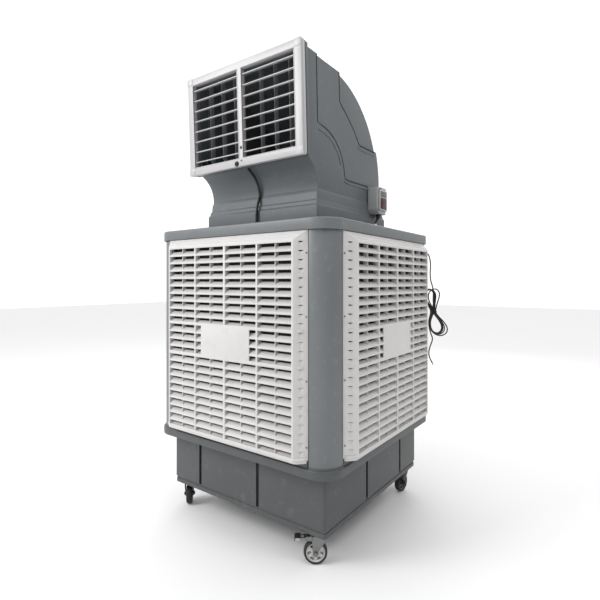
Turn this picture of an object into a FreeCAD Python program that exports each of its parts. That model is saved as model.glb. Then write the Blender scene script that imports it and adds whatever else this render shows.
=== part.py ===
import FreeCAD, Part
import math
import os
from FreeCAD import Vector

# A mobile evaporative cooler: a square cabinet with four louvred pad panels on a water tank
# with casters, and on its roof an elbow duct that turns the fan's air to a front outlet.
# Millimetres. The origin is on the floor under the middle of the cabinet, +Z is up, and the
# outlet faces -Y.

# cabinet
cap_half = 540.0
cap_corner = 100.0
body_half = 532.0
pan_bottom = 397.0
pan_top = 434.0
sill_top = 467.0
cap_bottom = 1392.0
cap_top = 1440.0
wall = 4.0

# water tank
tank_half = 470.0
tank_corner = 12.0
tank_bottom = 159.0
tank_bevel = 5.0
skirt_inset = 6.0
skirt_low = 131.0
tank_rim = 10.0
groove_width = 18.0
groove_depth = 12.0
front_grooves = (-276.0, 106.0)
side_grooves = (-108.0, 262.0)

# intake panels, drawn as the front one
panel_face = 577.0
panel_face_half = 388.0
panel_back_half = 432.0
panel_face_top = 1350.0
panel_skin = 3.0
row_pitch = 36.5
lower_rows = [495.0 + row_pitch * i for i in range(10)]
middle_rows = [860.0 + row_pitch * i for i in range(4)]
upper_rows = [1008.0 + row_pitch * i for i in range(10)]
divider_low = 837.0
divider_high = 983.0
rib = 12.0
blank_half_width = 152.0
screw_heights = (520.0, 784.0, 1042.0, 1298.0)

# pads and water
pad_outer = 500.0
pad_inner = 420.0
pad_top = 1372.0
sheet_count = 13
sheet_thick = 1.2
riser_place = (-300.0, 250.0)
valve_x = 200.0
inlet_radius = 10.5
float_pin = 3.0
drain_z = 195.0
drain_radius = 12.0
valve_z = 352.0

# fan, on a vertical axis
fan_y = -13.0
shroud_inner = 300.0
shroud_bottom = 1254.0
rotor_radius = 291.0
rotor_bottom = 1325.0
rotor_top = 1405.0
motor_bottom = 1150.0
motor_top = 1290.0
motor_radius = 78.0
shaft_radius = 10.0
running_gap = 0.05

# elbow duct, seen from its side as y and z
elbow_half = 338.0
elbow_wall = 5.0
neck_front = -324.0
neck_back = 298.0
throat_top = 1602.0
bend_start = 1718.0
skirt_half = 353.0
skirt_front = -349.0
skirt_back = 321.0
skirt_top = 1527.0

# outlet frame, in its own u (across), v (depth) and w (up) directions
frame_half = 358.0
frame_height = 485.0
frame_depth = 45.0
frame_front = -465.0
frame_bottom = 1722.0
frame_tilt = 2.24
window_near = 13.5
window_far = 319.0
window_low = 38.0
window_high = 450.0
collar_end = 92.0
collar_wall = 7.0

# louvre rows and swing vanes
row_count = 8
row_low = 69.0
row_step = 51.1
louvre_depth = 22.0
louvre_chord = 36.0
louvre_thick = 3.5
louvre_tilt = 15.0
spindle_radius = 3.0
vane_places = (-253.0, -168.0, -83.0, 83.0, 168.0, 253.0)
vane_depth = 66.0
vane_chord = 40.0
vane_thick = 3.0
crank_reach = 16.0
pin_radius = 3.0
link_low = 47.0
link_high = 54.0

# casters
swivel_place = 420.0
caster_trail = 25.0
wheel_radius = 50.0
wheel_half = 15.0
hub_half = 18.0
axle_radius = 6.0
leg_inner = 19.0
leg_thick = 3.0
crown_top = 122.0
crown_thick = 5.0
plate_bottom = 130.0
plate_top = 134.0
pedal_pivot = 58.0
pedal_pin = 3.0
pedal_height = 111.0
caster_turns = {"front_right": 216.3, "rear_right": -95.0, "rear_left": 40.0, "front_left": 135.0}
caster_corners = {"front_right": (1, -1), "rear_right": (1, 1), "rear_left": (-1, 1), "front_left": (-1, -1)}
braked_casters = ("front_right", "rear_left")

# control box on the elbow's right side
box_inner = 342.0
box_face = 400.0
box_front = 142.0
box_back = 237.0
box_low = 1540.0
box_high = 1680.0
flap_gap = 1.0
cover_front = 146.0
cover_back = 233.0
cover_low = 1556.0
flap_pin = 2.0
toggle_x = 378.0
toggle_z = 1624.0

# cables
cord_radius = 3.5
cable_radius = 6.5

axis_x = Vector(1, 0, 0)
axis_y = Vector(0, 1, 0)
axis_z = Vector(0, 0, 1)
origin = Vector(0, 0, 0)
nodes = {}


def block(x, y, z):
    return Part.makeBox(x[1] - x[0], y[1] - y[0], z[1] - z[0], Vector(x[0], y[0], z[0]))


def rod(start, end, radius):
    along = end.sub(start)
    return Part.makeCylinder(radius, along.Length, start, along)


def turned(shape, angle, centre=origin, axis=axis_z):
    copy = shape.copy()
    copy.rotate(centre, axis, angle)
    return copy


def moved(shape, offset):
    copy = shape.copy()
    copy.translate(offset)
    return copy


def fused(shapes):
    return shapes[0].multiFuse(list(shapes[1:]))


def rounded_square(half, radius, z0, z1):
    """A square prism with round corners, centred on the Z axis."""
    edges = []
    for quarter in range(4):
        centre = turned(Part.Vertex(half - radius, half - radius, z0), 90.0 * quarter).Point
        ring = [math.radians(90.0 * quarter + turn) for turn in (0.0, 45.0, 90.0)]
        points = [centre.add(Vector(math.cos(a), math.sin(a), 0).multiply(radius)) for a in ring]
        edges.append(Part.Arc(*points).toShape())
    loop = []
    for quarter in range(4):
        loop.append(edges[quarter])
        following = edges[(quarter + 1) % 4]
        loop.append(Part.makeLine(edges[quarter].Vertexes[-1].Point, following.Vertexes[0].Point))
    return Part.Face(Part.Wire(loop)).extrude(Vector(0, 0, z1 - z0))


def square_ring(outer, outer_radius, inner, inner_radius, z0, z1):
    hole = rounded_square(inner, inner_radius, z0 - 1, z1 + 1)
    return rounded_square(outer, outer_radius, z0, z1).cut(hole)


def prism_x(outline, x0, x1):
    """A polygon of (y, z) points, drawn out along X."""
    points = [Vector(x0, y, z) for y, z in outline]
    points.append(points[0])
    return Part.Face(Part.makePolygon(points)).extrude(Vector(x1 - x0, 0, 0))


def frustum(back_y, back, front_y, front):
    """A solid between two upright rectangles, each ((x0, x1), (z0, z1))."""
    wires = []
    for y, (xs, zs) in ((back_y, back), (front_y, front)):
        corners = ((xs[0], zs[0]), (xs[1], zs[0]), (xs[1], zs[1]), (xs[0], zs[1]), (xs[0], zs[0]))
        ring = [Vector(x, y, z) for x, z in corners]
        wires.append(Part.makePolygon(ring))
    return Part.makeLoft(wires, True, True)


def cord_tube(name, points, radius):
    """A tube along straight runs joined by tangent arcs, as large as the runs allow."""
    edges = []
    last = points[0]
    radii = []
    for before, corner, after in zip(points, points[1:], points[2:]):
        back = before.sub(corner)
        ahead = after.sub(corner)
        turn = math.pi - back.getAngle(ahead)
        reach = 0.45 * min(back.Length, ahead.Length)
        radii.append(reach / math.tan(turn / 2))
        back.normalize()
        ahead.normalize()
        start = corner.add(Vector(back).multiply(reach))
        end = corner.add(Vector(ahead).multiply(reach))
        inward = Vector(back).add(ahead).normalize()
        middle = corner.add(inward.multiply(reach * math.tan(turn / 4)))
        edges.append(Part.makeLine(last, start))
        edges.append(Part.Arc(start, middle, end).toShape())
        last = end
    edges.append(Part.makeLine(last, points[-1]))
    path = Part.Wire(edges)
    section = Part.Wire(Part.makeCircle(radius, points[0], points[1].sub(points[0])))
    solid = path.makePipeShell([section], True, True)
    expected = math.pi * radius ** 2 * path.Length
    print(name, "length", round(path.Length), "least radius", round(min(radii)), "volume ratio",
          round(solid.Volume / expected, 4))
    return solid


def outlet_place(shape):
    """Turn a shape drawn in the outlet's u, v, w directions to its tilted place."""
    copy = shape.copy()
    copy.rotate(origin, axis_x, frame_tilt)
    copy.translate(Vector(0, frame_front, frame_bottom))
    return copy


def make_tank():
    outer = rounded_square(tank_half, tank_corner, tank_bottom, pan_bottom)
    low_edges = [e for e in outer.Edges if e.BoundBox.ZMax < tank_bottom + 0.1]
    outer = outer.makeChamfer(tank_bevel, low_edges)
    inner = tank_half - wall
    rim = square_ring(tank_half + tank_rim, tank_corner + tank_rim, inner, tank_corner,
                      pan_bottom - 5, pan_bottom)
    cavity = rounded_square(inner, tank_corner - wall, tank_bottom + tank_bevel, pan_bottom + 1)
    floor = rounded_square(inner - tank_bevel, tank_corner - wall, tank_bottom + wall, pan_bottom)
    grooves = []
    for quarter, places in enumerate((front_grooves, side_grooves, front_grooves, side_grooves)):
        for x in places:
            half = groove_width / 2
            back = -tank_half + groove_depth
            cut = block((x - half, x + half), (-tank_half - 1, back), (tank_bottom, pan_bottom - 5))
            bump = block((x - half - wall, x + half + wall), (-tank_half, back + wall), (0, pan_bottom + 2))
            grooves.append(turned(cut, 90.0 * quarter))
            cavity = cavity.cut(turned(bump, 90.0 * quarter))
    outer = outer.cut(Part.makeCompound(grooves)).fuse(rim).cut(cavity).cut(floor)
    edge = tank_half - skirt_inset
    skirt = square_ring(edge, tank_corner - skirt_inset, edge - wall, 1.0, skirt_low, tank_bottom + wall)
    outer = outer.fuse(skirt)
    inlet_hole = rod(Vector(valve_x, 440, valve_z), Vector(valve_x, 480, valve_z), inlet_radius)
    drain_hole = rod(Vector(-valve_x, 440, drain_z), Vector(-valve_x, 480, drain_z), drain_radius)
    return outer.cut(inlet_hole).cut(drain_hole)


def make_base_pan():
    floor = square_ring(cap_half, cap_corner, 446.0, 30.0, pan_bottom, pan_bottom + 6)
    skirt = square_ring(cap_half, cap_corner, cap_half - 6, cap_corner - 6, pan_bottom, pan_top)
    shelf = square_ring(cap_half, cap_corner, pad_outer + 2, 60.0, pan_top - 5, pan_top)
    inner = square_ring(pad_outer + 6, 60.0, pad_outer + 2, 56.0, pan_bottom, pan_top)
    pan = fused([floor, skirt, shelf, inner])
    sill = block((-427, 427), (-body_half, -body_half + 25), (pan_top, sill_top))
    return fused([pan] + [turned(sill, 90.0 * k) for k in range(4)])


def make_column():
    """The front right column: a quarter-round skin with two inward flanges."""
    middle = body_half - cap_corner
    start = Vector(middle, -middle, pan_top)
    height = cap_bottom - pan_top
    skin = Part.makeCylinder(cap_corner, height, start)
    skin = skin.cut(Part.makeCylinder(cap_corner - wall, height, start))
    skin = skin.common(block((middle, body_half), (-body_half, -middle), (pan_top, cap_bottom)))
    leg_a = block((middle - wall, middle), (-body_half, -body_half + 34), (pan_top, cap_bottom))
    leg_b = block((body_half - 34, body_half), (-middle, -middle + wall), (pan_top, cap_bottom))
    return fused([skin, leg_a, leg_b])


def make_intake_panel():
    """The front panel: a bevelled tray whose face is a grid of sloping blades and upright bars."""
    back = ((-panel_back_half, panel_back_half), (sill_top, cap_bottom))
    front = ((-panel_face_half, panel_face_half), (sill_top, panel_face_top))
    tray = frustum(-body_half, back, -panel_face, front)
    skin = panel_skin
    inner_back = ((-panel_back_half + skin, panel_back_half - skin), (sill_top + skin, cap_bottom - skin))
    inner_front = ((-panel_face_half + 8, panel_face_half - 8), (sill_top + rib, panel_face_top - 6))
    tray = tray.cut(frustum(-body_half, inner_back, -panel_face + skin, inner_front))
    opening = block((-panel_face_half + 8, panel_face_half - 8), (-panel_face - 1, -panel_face + skin + 1),
                    (sill_top + rib, panel_face_top - 6))
    scoops = []
    for z in lower_rows + middle_rows + upper_rows:
        for side in (-1, 1):
            x = side * 409.0
            scoops.append(block((x - 13, x + 13), (-body_half - 44, -body_half - 2), (z, z + 9)))
    tray = tray.cut(opening).cut(Part.makeCompound(scoops))
    depth = (-panel_face, -panel_face + 30)
    pieces = [tray]
    for x, width in ((0, 12.0), (-194, 9.0), (194, 9.0), (-384, 8.0), (384, 8.0)):
        pieces.append(block((x - width / 2, x + width / 2), depth, (sill_top + 2, panel_face_top - 1)))
    for x in (-291, -97, 97, 291):
        pieces.append(block((x - 1.5, x + 1.5), (-panel_face + 7, -panel_face + 28),
                            (sill_top + 2, panel_face_top - 1)))
    for z in (divider_low, divider_high):
        pieces.append(block((-panel_face_half + 2, panel_face_half - 2), depth, (z - rib / 2, z + rib / 2)))
    y = -panel_face
    for z in lower_rows + middle_rows + upper_rows:
        blade = [(y + 1, z + 4), (y + 3.5, z + 2.5), (y + 22, z + 28.5), (y + 19.5, z + 30.5)]
        pieces.append(prism_x(blade, -384, 384))
    panel = fused(pieces)
    plate = block((-blank_half_width, blank_half_width), (y, y + 4), (divider_low, divider_high))
    return panel.fuse(plate)


def make_panel_screws():
    """Button-headed screws along the outer edges of every panel's bevels."""
    screws = []
    slope = math.atan2(panel_face - body_half, panel_back_half - panel_face_half)
    for side in (-1, 1):
        for z in screw_heights:
            x = 426.0
            y = -body_half - (panel_back_half - x) * math.tan(slope)
            foot = Vector(side * x, y, z)
            out = Vector(side * math.sin(slope), -math.cos(slope), 0)
            screws.append(rod(foot, foot.add(out.multiply(2.5)), 3.5))
    group = Part.makeCompound(screws)
    return Part.makeCompound([turned(group, 90.0 * k) for k in range(4)])


def make_cooling_pads():
    """Four pads, each a row of upright sheets with a backing sheet."""
    heights = (pan_bottom + 6, pad_top)
    sheets = [block((-pad_inner, pad_inner), (-pad_inner - sheet_thick, -pad_inner), heights)]
    for k in range(sheet_count):
        x = -pad_inner + (2 * pad_inner - sheet_thick) * k / (sheet_count - 1)
        sheets.append(block((x, x + sheet_thick), (-pad_outer, -pad_inner), heights))
    pad = fused(sheets)
    return Part.makeCompound([turned(pad, 90.0 * k) for k in range(4)])


def make_top_cover():
    cover = rounded_square(cap_half, cap_corner, cap_bottom, cap_top)
    top_edges = [e for e in cover.Edges if e.BoundBox.ZMin > cap_top - 0.1]
    cover = cover.makeFillet(7.0, top_edges)
    cover = cover.cut(rounded_square(cap_half - 8, cap_corner - 8, cap_bottom, cap_top - 6))
    hole = Part.makeCylinder(shroud_inner, 100, Vector(0, fan_y, cap_bottom))
    return cover.cut(hole)


def make_fan_shroud():
    foot = Vector(0, fan_y, shroud_bottom)
    height = cap_top - 6 - shroud_bottom
    ring = Part.makeCylinder(shroud_inner + wall, height, foot)
    flange = Part.makeCylinder(shroud_inner + 30, 5, Vector(0, fan_y, cap_top - 11))
    return ring.fuse(flange).cut(Part.makeCylinder(shroud_inner, height, foot))


def make_motor_bracket():
    low = Vector(0, fan_y, motor_top)
    plate = Part.makeCylinder(motor_radius + 12, 6, low)
    arm = block((-shroud_inner - 5, shroud_inner + 5), (fan_y - 16, fan_y + 16), (motor_top, motor_top + 6))
    cross = fused([plate, turned(arm, 45, Vector(0, fan_y, 0)), turned(arm, -45, Vector(0, fan_y, 0))])
    cross = cross.common(Part.makeCylinder(shroud_inner, 6, low))
    return cross.cut(Part.makeCylinder(shaft_radius + 4, 6, low))


def make_fan_motor():
    base = Vector(0, fan_y, motor_bottom)
    height = motor_top - motor_bottom
    body = Part.makeCylinder(motor_radius - 6, height, base)
    fin = block((-motor_radius, motor_radius), (-2, 2), (motor_bottom + 15, motor_top - 15))
    fins = [moved(turned(fin, 15.0 * k), Vector(0, fan_y, 0)) for k in range(12)]
    shaft = Part.makeCylinder(shaft_radius, rotor_top - motor_top + 10, Vector(0, fan_y, motor_top))
    return fused([body] + fins + [shaft])


def make_fan_rotor():
    height = rotor_top - rotor_bottom
    base = Vector(0, fan_y, rotor_bottom)
    hub = Part.makeCylinder(72, height, base)
    centre = Vector(0, fan_y, (rotor_bottom + rotor_top) / 2)
    blades = []
    for k in range(6):
        blade = block((60, rotor_radius + 5), (-62, 62), (-2.5, 2.5))
        blade = turned(blade, 32.0, origin, axis_x)
        blades.append(moved(turned(blade, 60.0 * k), centre))
    rotor = fused([hub] + blades).common(Part.makeCylinder(rotor_radius, height, base))
    return rotor.cut(Part.makeCylinder(shaft_radius + running_gap, height, base))


def mouth_point(height):
    """The (y, z) of a point on the elbow's mouth, at a height up the tilted outlet frame."""
    tilt = math.radians(frame_tilt)
    depth = frame_depth + 2.0
    y = frame_front + depth * math.cos(tilt) - height * math.sin(tilt)
    z = frame_bottom + depth * math.sin(tilt) + height * math.cos(tilt)
    return y, z


def elbow_side():
    """The elbow's side face: a throat that curves out to the mouth, and a round back."""
    low = mouth_point(11.0)
    high = mouth_point(482.0)
    corner = {
        "low": Vector(0, low[0], low[1]),
        "throat": Vector(0, neck_front, throat_top),
        "front": Vector(0, neck_front, cap_top),
        "back": Vector(0, neck_back, cap_top),
        "turn": Vector(0, neck_back, bend_start),
        "crown": Vector(0, -124.0, 2199.0),
        "high": Vector(0, high[0], high[1]),
    }
    edges = [
        Part.Arc(corner["low"], Vector(0, -357.0, 1694.0), corner["throat"]).toShape(),
        Part.makeLine(corner["throat"], corner["front"]),
        Part.makeLine(corner["front"], corner["back"]),
        Part.makeLine(corner["back"], corner["turn"]),
        Part.Arc(corner["turn"], Vector(0, 153.0, 2064.0), corner["crown"]).toShape(),
        Part.makeLine(corner["crown"], corner["high"]),
        Part.makeLine(corner["high"], corner["low"]),
    ]
    return Part.Wire(edges)


def make_elbow_duct():
    side = elbow_side()
    outer = moved(Part.Face(side).extrude(Vector(2 * elbow_half, 0, 0)), Vector(-elbow_half, 0, 0))
    inside = side.makeOffset2D(-elbow_wall)
    inner_half = elbow_half - elbow_wall
    inner = moved(Part.Face(inside).extrude(Vector(2 * inner_half, 0, 0)), Vector(-inner_half, 0, 0))
    foot = block((-inner_half, inner_half), (neck_front + elbow_wall, neck_back - elbow_wall),
                 (cap_top - 5, throat_top))
    mouth = outlet_place(block((-inner_half, inner_half), (frame_depth, frame_depth + 20), (17.0, 476.0)))
    steps = [
        block((-skirt_half, skirt_half), (skirt_front, skirt_back), (cap_top, skirt_top)),
        block((-346, 346), (skirt_front + 9, skirt_back - 9), (skirt_top, skirt_top + 20)),
        block((-342, 342), (skirt_front + 18, skirt_back - 16), (skirt_top + 20, skirt_top + 60)),
    ]
    flange = outlet_place(block((-350, 350), (frame_depth + 2, frame_depth + 12), (4.0, 482.0)))
    duct = fused([outer, flange] + steps)
    return duct.cut(inner).cut(foot).cut(mouth)


def make_outlet_frame():
    frame = block((-frame_half, frame_half), (0, frame_depth), (0, frame_height))
    collar = block((-window_far - collar_wall, window_far + collar_wall), (frame_depth, collar_end),
                   (window_low - collar_wall, window_high + collar_wall))
    collar = collar.cut(block((-window_far, window_far), (frame_depth, collar_end + 1),
                              (window_low, window_high)))
    frame = frame.fuse(collar)
    for side in (-1, 1):
        xs = sorted((side * window_near, side * window_far))
        frame = frame.cut(block(xs, (-1, frame_depth + 1), (window_low, window_high)))
    holes = []
    for row in range(row_count):
        w = row_low + row_step * row
        reach = window_far + 7
        ends = Vector(-reach, louvre_depth, w), Vector(reach, louvre_depth, w)
        holes.append(rod(*ends, spindle_radius + running_gap))
    for u in vane_places:
        low = Vector(u, vane_depth, window_low - 5)
        high = Vector(u, vane_depth, window_high + 5)
        holes.append(rod(low, high, pin_radius + running_gap))
    return outlet_place(frame.cut(Part.makeCompound(holes)))


def make_louvre_row(row):
    """Two blades on one spindle that runs through the mullion."""
    half = louvre_chord / 2
    thick = louvre_thick / 2
    pieces = [rod(Vector(-window_far - 6, 0, 0), Vector(window_far + 6, 0, 0), spindle_radius)]
    outline = [(-half, 0), (-half + 5, -thick), (half - 5, -thick),
               (half, 0), (half - 5, thick), (-half + 5, thick)]
    blade = prism_x(outline, window_near + 1.5, window_far - 1.5)
    pieces.append(blade)
    pieces.append(moved(blade, Vector(-window_near - window_far, 0, 0)))
    shape = turned(fused(pieces), louvre_tilt, origin, axis_x)
    return outlet_place(moved(shape, Vector(0, louvre_depth, row_low + row_step * row)))


def make_vane(u):
    front = vane_depth - vane_chord / 2
    back = vane_depth + vane_chord / 2
    thick = vane_thick / 2
    crank = vane_depth + crank_reach
    blade = block((u - thick, u + thick), (front, back), (link_high + 10, window_high - 4))
    arm = block((u - 5, u + 5), (vane_depth - 5, back), (link_high + 3, link_high + 10))
    stem = rod(Vector(u, vane_depth, window_low + 1), Vector(u, vane_depth, link_high + 3), 4.0)
    low_pin = rod(Vector(u, vane_depth, window_low - 4), Vector(u, vane_depth, window_low + 1), pin_radius)
    high_ends = Vector(u, vane_depth, window_high - 6), Vector(u, vane_depth, window_high + 4)
    high_pin = rod(*high_ends, pin_radius)
    crank_pin = rod(Vector(u, crank, link_low), Vector(u, crank, link_high + 3), pin_radius)
    return outlet_place(fused([blade, arm, stem, low_pin, high_pin, crank_pin]))


def make_vane_link():
    crank = vane_depth + crank_reach
    end = vane_places[-1] + 9
    bar = block((-end, end), (crank - 6, crank + 6), (link_low, link_high))
    holes = []
    for u in vane_places:
        holes.append(rod(Vector(u, crank, link_low), Vector(u, crank, link_high), pin_radius + running_gap))
    return outlet_place(bar.cut(Part.makeCompound(holes)))


def make_swing_motor():
    case = block((-window_far, -window_far + 34), (52, 88), (window_low, window_low + 34))
    top = Vector(-window_far + 17, 70, window_low + 34)
    cap = rod(top, top.add(Vector(0, 0, 8)), 12)
    return outlet_place(case.fuse(cap))


def make_caster_frame():
    """Two tube rails under the tank, with a plate and a swivel race for each caster."""
    pieces = []
    for side in (-1, 1):
        x = side * swivel_place
        rail = block((x - 20, x + 20), (-445, 445), (plate_top, tank_bottom))
        pieces.append(rail.cut(block((x - 17, x + 17), (-446, 446), (plate_top + 3, tank_bottom - 3))))
    for sx, sy in caster_corners.values():
        centre = Vector(sx * swivel_place, sy * swivel_place, 0)
        plate = block((-30, 30), (-30, 30), (plate_bottom, plate_top))
        race = Part.makeCylinder(24, 7.7, Vector(0, 0, crown_top + 0.3)).cut(
            Part.makeCylinder(12.05, 10, Vector(0, 0, crown_top)))
        pieces.append(moved(plate.fuse(race), centre))
    return fused(pieces)


def caster_place(shape, name):
    """Turn a caster drawn trailing along +X to its own direction and corner."""
    sx, sy = caster_corners[name]
    return moved(turned(shape, caster_turns[name]), Vector(sx * swivel_place, sy * swivel_place, 0))


def make_fork(name):
    crown_low = crown_top - crown_thick
    crown = block((-22, 40), (-leg_inner - leg_thick, leg_inner + leg_thick), (crown_low, crown_top))
    post = Part.makeCylinder(12, 7, Vector(0, 0, crown_top))
    pieces = [crown, post]
    for side in (-1, 1):
        ys = sorted((side * leg_inner, side * (leg_inner + leg_thick)))
        outline = [(-20, crown_low), (40, crown_low), (caster_trail + 13, 48), (caster_trail + 8, 38),
                   (caster_trail - 8, 38), (caster_trail - 13, 48)]
        points = [Vector(x, ys[0], z) for x, z in outline]
        points.append(points[0])
        pieces.append(Part.Face(Part.makePolygon(points)).extrude(Vector(0, ys[1] - ys[0], 0)))
    if name in braked_casters:
        for side in (-1, 1):
            ys = sorted((side * leg_inner, side * (leg_inner + leg_thick)))
            pieces.append(block((38, pedal_pivot + 7), ys, (crown_top - 19, crown_top)))
        reach = leg_inner + leg_thick
        ends = Vector(pedal_pivot, -reach, pedal_height), Vector(pedal_pivot, reach, pedal_height)
        pieces.append(rod(*ends, pedal_pin))
    axle_z = wheel_radius
    reach = leg_inner + leg_thick + 2
    ends = Vector(caster_trail, -reach, axle_z), Vector(caster_trail, reach, axle_z)
    pieces.append(rod(*ends, axle_radius))
    for side in (-1, 1):
        start = Vector(caster_trail, side * (leg_inner + leg_thick), axle_z)
        pieces.append(rod(start, start.add(Vector(0, side * 6, 0)), 9.5))
    return caster_place(fused(pieces), name)


def make_wheel(name):
    middle = Vector(caster_trail, 0, wheel_radius)
    tread = Part.makeCylinder(wheel_radius, 2 * wheel_half, middle.add(Vector(0, -wheel_half, 0)), axis_y)
    edges = [e for e in tread.Edges if e.Curve.TypeId == "Part::GeomCircle"]
    tread = tread.makeFillet(5.0, edges)
    hub = Part.makeCylinder(14, 2 * hub_half, middle.add(Vector(0, -hub_half, 0)), axis_y)
    wheel = tread.fuse(hub)
    for side in (-1, 1):
        floor = middle.add(Vector(0, side * (wheel_half - 8), 0))
        outward = Vector(0, side, 0)
        recess = Part.makeCylinder(37, 8, floor, outward)
        wheel = wheel.cut(recess.cut(Part.makeCylinder(14, 8, floor, outward)))
    reach = Vector(0, hub_half + 1, 0)
    bore = rod(middle.sub(reach), middle.add(reach), axle_radius + running_gap)
    return caster_place(wheel.cut(bore), name)


def make_brake_pedal(name):
    top = pedal_height + 4
    arm = block((pedal_pivot - 12, 100), (-15, 15), (pedal_height - 3, top))
    tip = block((96, 114), (-19, 19), (pedal_height - 8, top + 3))
    barrel = rod(Vector(pedal_pivot, -17, pedal_height), Vector(pedal_pivot, 17, pedal_height), 6.0)
    ends = Vector(pedal_pivot, -20, pedal_height), Vector(pedal_pivot, 20, pedal_height)
    hole = rod(*ends, pedal_pin + running_gap)
    return caster_place(fused([arm, tip, barrel]).cut(hole), name)


def flap_hinge():
    return box_face + 6.5, box_high - 6.0


def make_control_box():
    outline = [(box_front, box_low + 22), (box_front + 16, box_low), (box_back, box_low),
               (box_back, box_high), (box_front, box_high)]
    body = prism_x(outline, box_inner, box_face)
    body = body.cut(block((box_inner + 25, box_face + 1), (160, 219), (1592, 1656)))
    foot = block((elbow_half, box_inner), (box_front + 10, box_back - 10), (1600, 1670))
    hinge_x, hinge_z = flap_hinge()
    pieces = [body, foot]
    for y in (156, 216):
        pieces.append(block((box_face, hinge_x + 3), (y, y + 7), (hinge_z - 3.5, hinge_z + 3.5)))
    pieces.append(rod(Vector(hinge_x, 156, hinge_z), Vector(hinge_x, 223, hinge_z), flap_pin))
    pieces.append(rod(Vector(toggle_x, 159, toggle_z), Vector(toggle_x, 220, toggle_z), flap_pin))
    return fused(pieces).cut(make_elbow_duct())


def make_control_box_cover():
    hinge_x, hinge_z = flap_hinge()
    back = box_face + flap_gap
    plate = block((back, back + 9), (cover_front, cover_back), (cover_low, hinge_z - 8))
    neck = block((box_face + 3, back + 9), (166, 213), (hinge_z - 9, hinge_z))
    barrel = rod(Vector(hinge_x, 166, hinge_z), Vector(hinge_x, 213, hinge_z), 4.0)
    hole = rod(Vector(hinge_x, 150, hinge_z), Vector(hinge_x, 230, hinge_z), flap_pin + running_gap)
    hollow = block((back - 1, back + 6), (cover_front + 4, cover_back - 4), (cover_low + 4, hinge_z - 12))
    return fused([plate, neck, barrel]).cut(hollow).cut(hole)


def make_breaker_toggle():
    """A rocker on its own pin in the box's recess."""
    middle = Vector(toggle_x, 189.5, toggle_z)
    barrel = rod(middle.add(Vector(0, -14, 0)), middle.add(Vector(0, 14, 0)), 7.0)
    hole = rod(middle.add(Vector(0, -15, 0)), middle.add(Vector(0, 15, 0)), flap_pin + running_gap)
    lever = block((toggle_x, toggle_x + 18), (178, 201), (toggle_z - 3, toggle_z + 3))
    return barrel.fuse(turned(lever, 18, middle, axis_y)).cut(hole)


def make_float_valve():
    body = rod(Vector(valve_x, 458, valve_z), Vector(valve_x, 498, valve_z), inlet_radius)
    nut = rod(Vector(valve_x, tank_half, valve_z), Vector(valve_x, tank_half + 6, valve_z), 17.0)
    head = block((valve_x - 12, valve_x + 12), (438, 458), (valve_z - 12, valve_z + 12))
    pin = rod(Vector(valve_x, 425, valve_z), Vector(valve_x, 438, valve_z), float_pin)
    return fused([body, nut, head, pin])


def make_float_arm():
    eye = rod(Vector(valve_x, 426, valve_z), Vector(valve_x, 435, valve_z), 7.0)
    arm = block((valve_x - 130, valve_x), (428, 433), (valve_z - 3, valve_z + 3))
    ball = Part.makeSphere(30, Vector(valve_x - 155, 416, valve_z))
    shape = turned(fused([eye, arm, ball]), -18, Vector(valve_x, 0, valve_z), axis_y)
    ends = Vector(valve_x, 420, valve_z), Vector(valve_x, 440, valve_z)
    return shape.cut(rod(*ends, float_pin + running_gap))


def make_drain_plug():
    middle = Vector(-valve_x, tank_half, drain_z)
    thread = rod(middle.sub(Vector(0, 10, 0)), middle, drain_radius)
    head = rod(middle, middle.add(Vector(0, 12, 0)), 18.0)
    return thread.fuse(head)


def make_pump():
    x, y = riser_place
    base = tank_bottom + wall
    body = block((x - 45, x + 45), (y - 35, y + 35), (base, base + 20))
    case = Part.makeCylinder(32, 100, Vector(x, y, base + 20))
    outlet = Part.makeCylinder(12, 12, Vector(x, y, base + 120))
    return fused([body, case, outlet])


def make_water_distributor():
    x, y = riser_place
    ring = square_ring(472, 20, 450, 12, pad_top, pad_top + 16)
    top = pad_top + 8
    riser = rod(Vector(x, y, tank_bottom + wall + 132), Vector(x, y, top), 9.0)
    feed = block((-451, x), (y - 7, y + 7), (top - 7, top + 7))
    return fused([ring, riser, feed])


def diagonal(out, z):
    """A point in the upright plane through the rear right column's round corner."""
    return Vector(out / math.sqrt(2), out / math.sqrt(2), z)


gland_start = (708.0, 1371.0)
gland_end = (734.0, 1352.0)
lead_points = [gland_end, (748, 1338), (757, 1310), (761, 1274), (757, 1231), (760, 1188), (766, 1148)]
tail_points = [(787, 880), (778, 856), (765, 827), (753, 797), (748, 766), (756, 738), (769, 717)]
hank_outline = [(728, 1150), (794, 1153), (796, 1100), (787, 1040), (792, 1004), (845, 968), (868, 930),
                (864, 894), (815, 866), (780, 868), (746, 930), (746, 975), (764, 1010), (727, 1100)]
hank_half = 19.0


def make_cord_gland():
    start = diagonal(*gland_start)
    end = diagonal(*gland_end)
    along = end.sub(start).normalize()
    nut = rod(start, start.add(Vector(along).multiply(14)), 9.0)
    foot = start.add(Vector(along).multiply(14))
    cone = Part.makeCone(8.0, 5.0, end.sub(foot).Length, foot, along)
    return nut.fuse(cone)


def make_cord_hank():
    points = [diagonal(*p) for p in hank_outline]
    points.append(points[0])
    across = Vector(1, -1, 0).normalize()
    sheet = Part.Face(Part.makePolygon(points))
    sheet.translate(Vector(across).multiply(-hank_half))
    return sheet.extrude(across.multiply(2 * hank_half))


def make_swing_cable():
    """Down the front of the elbow, from the outlet frame to the roof."""
    route = [(-415, 1719), (-385, 1700), (-358, 1672), (-341, 1641), (-333, 1606), (-340, 1584),
             (-348, 1562), (-356, 1538), (-359, 1500), (-358, 1441)]
    return cord_tube("swing_cable", [Vector(0, y, z) for y, z in route], cable_radius)


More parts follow.
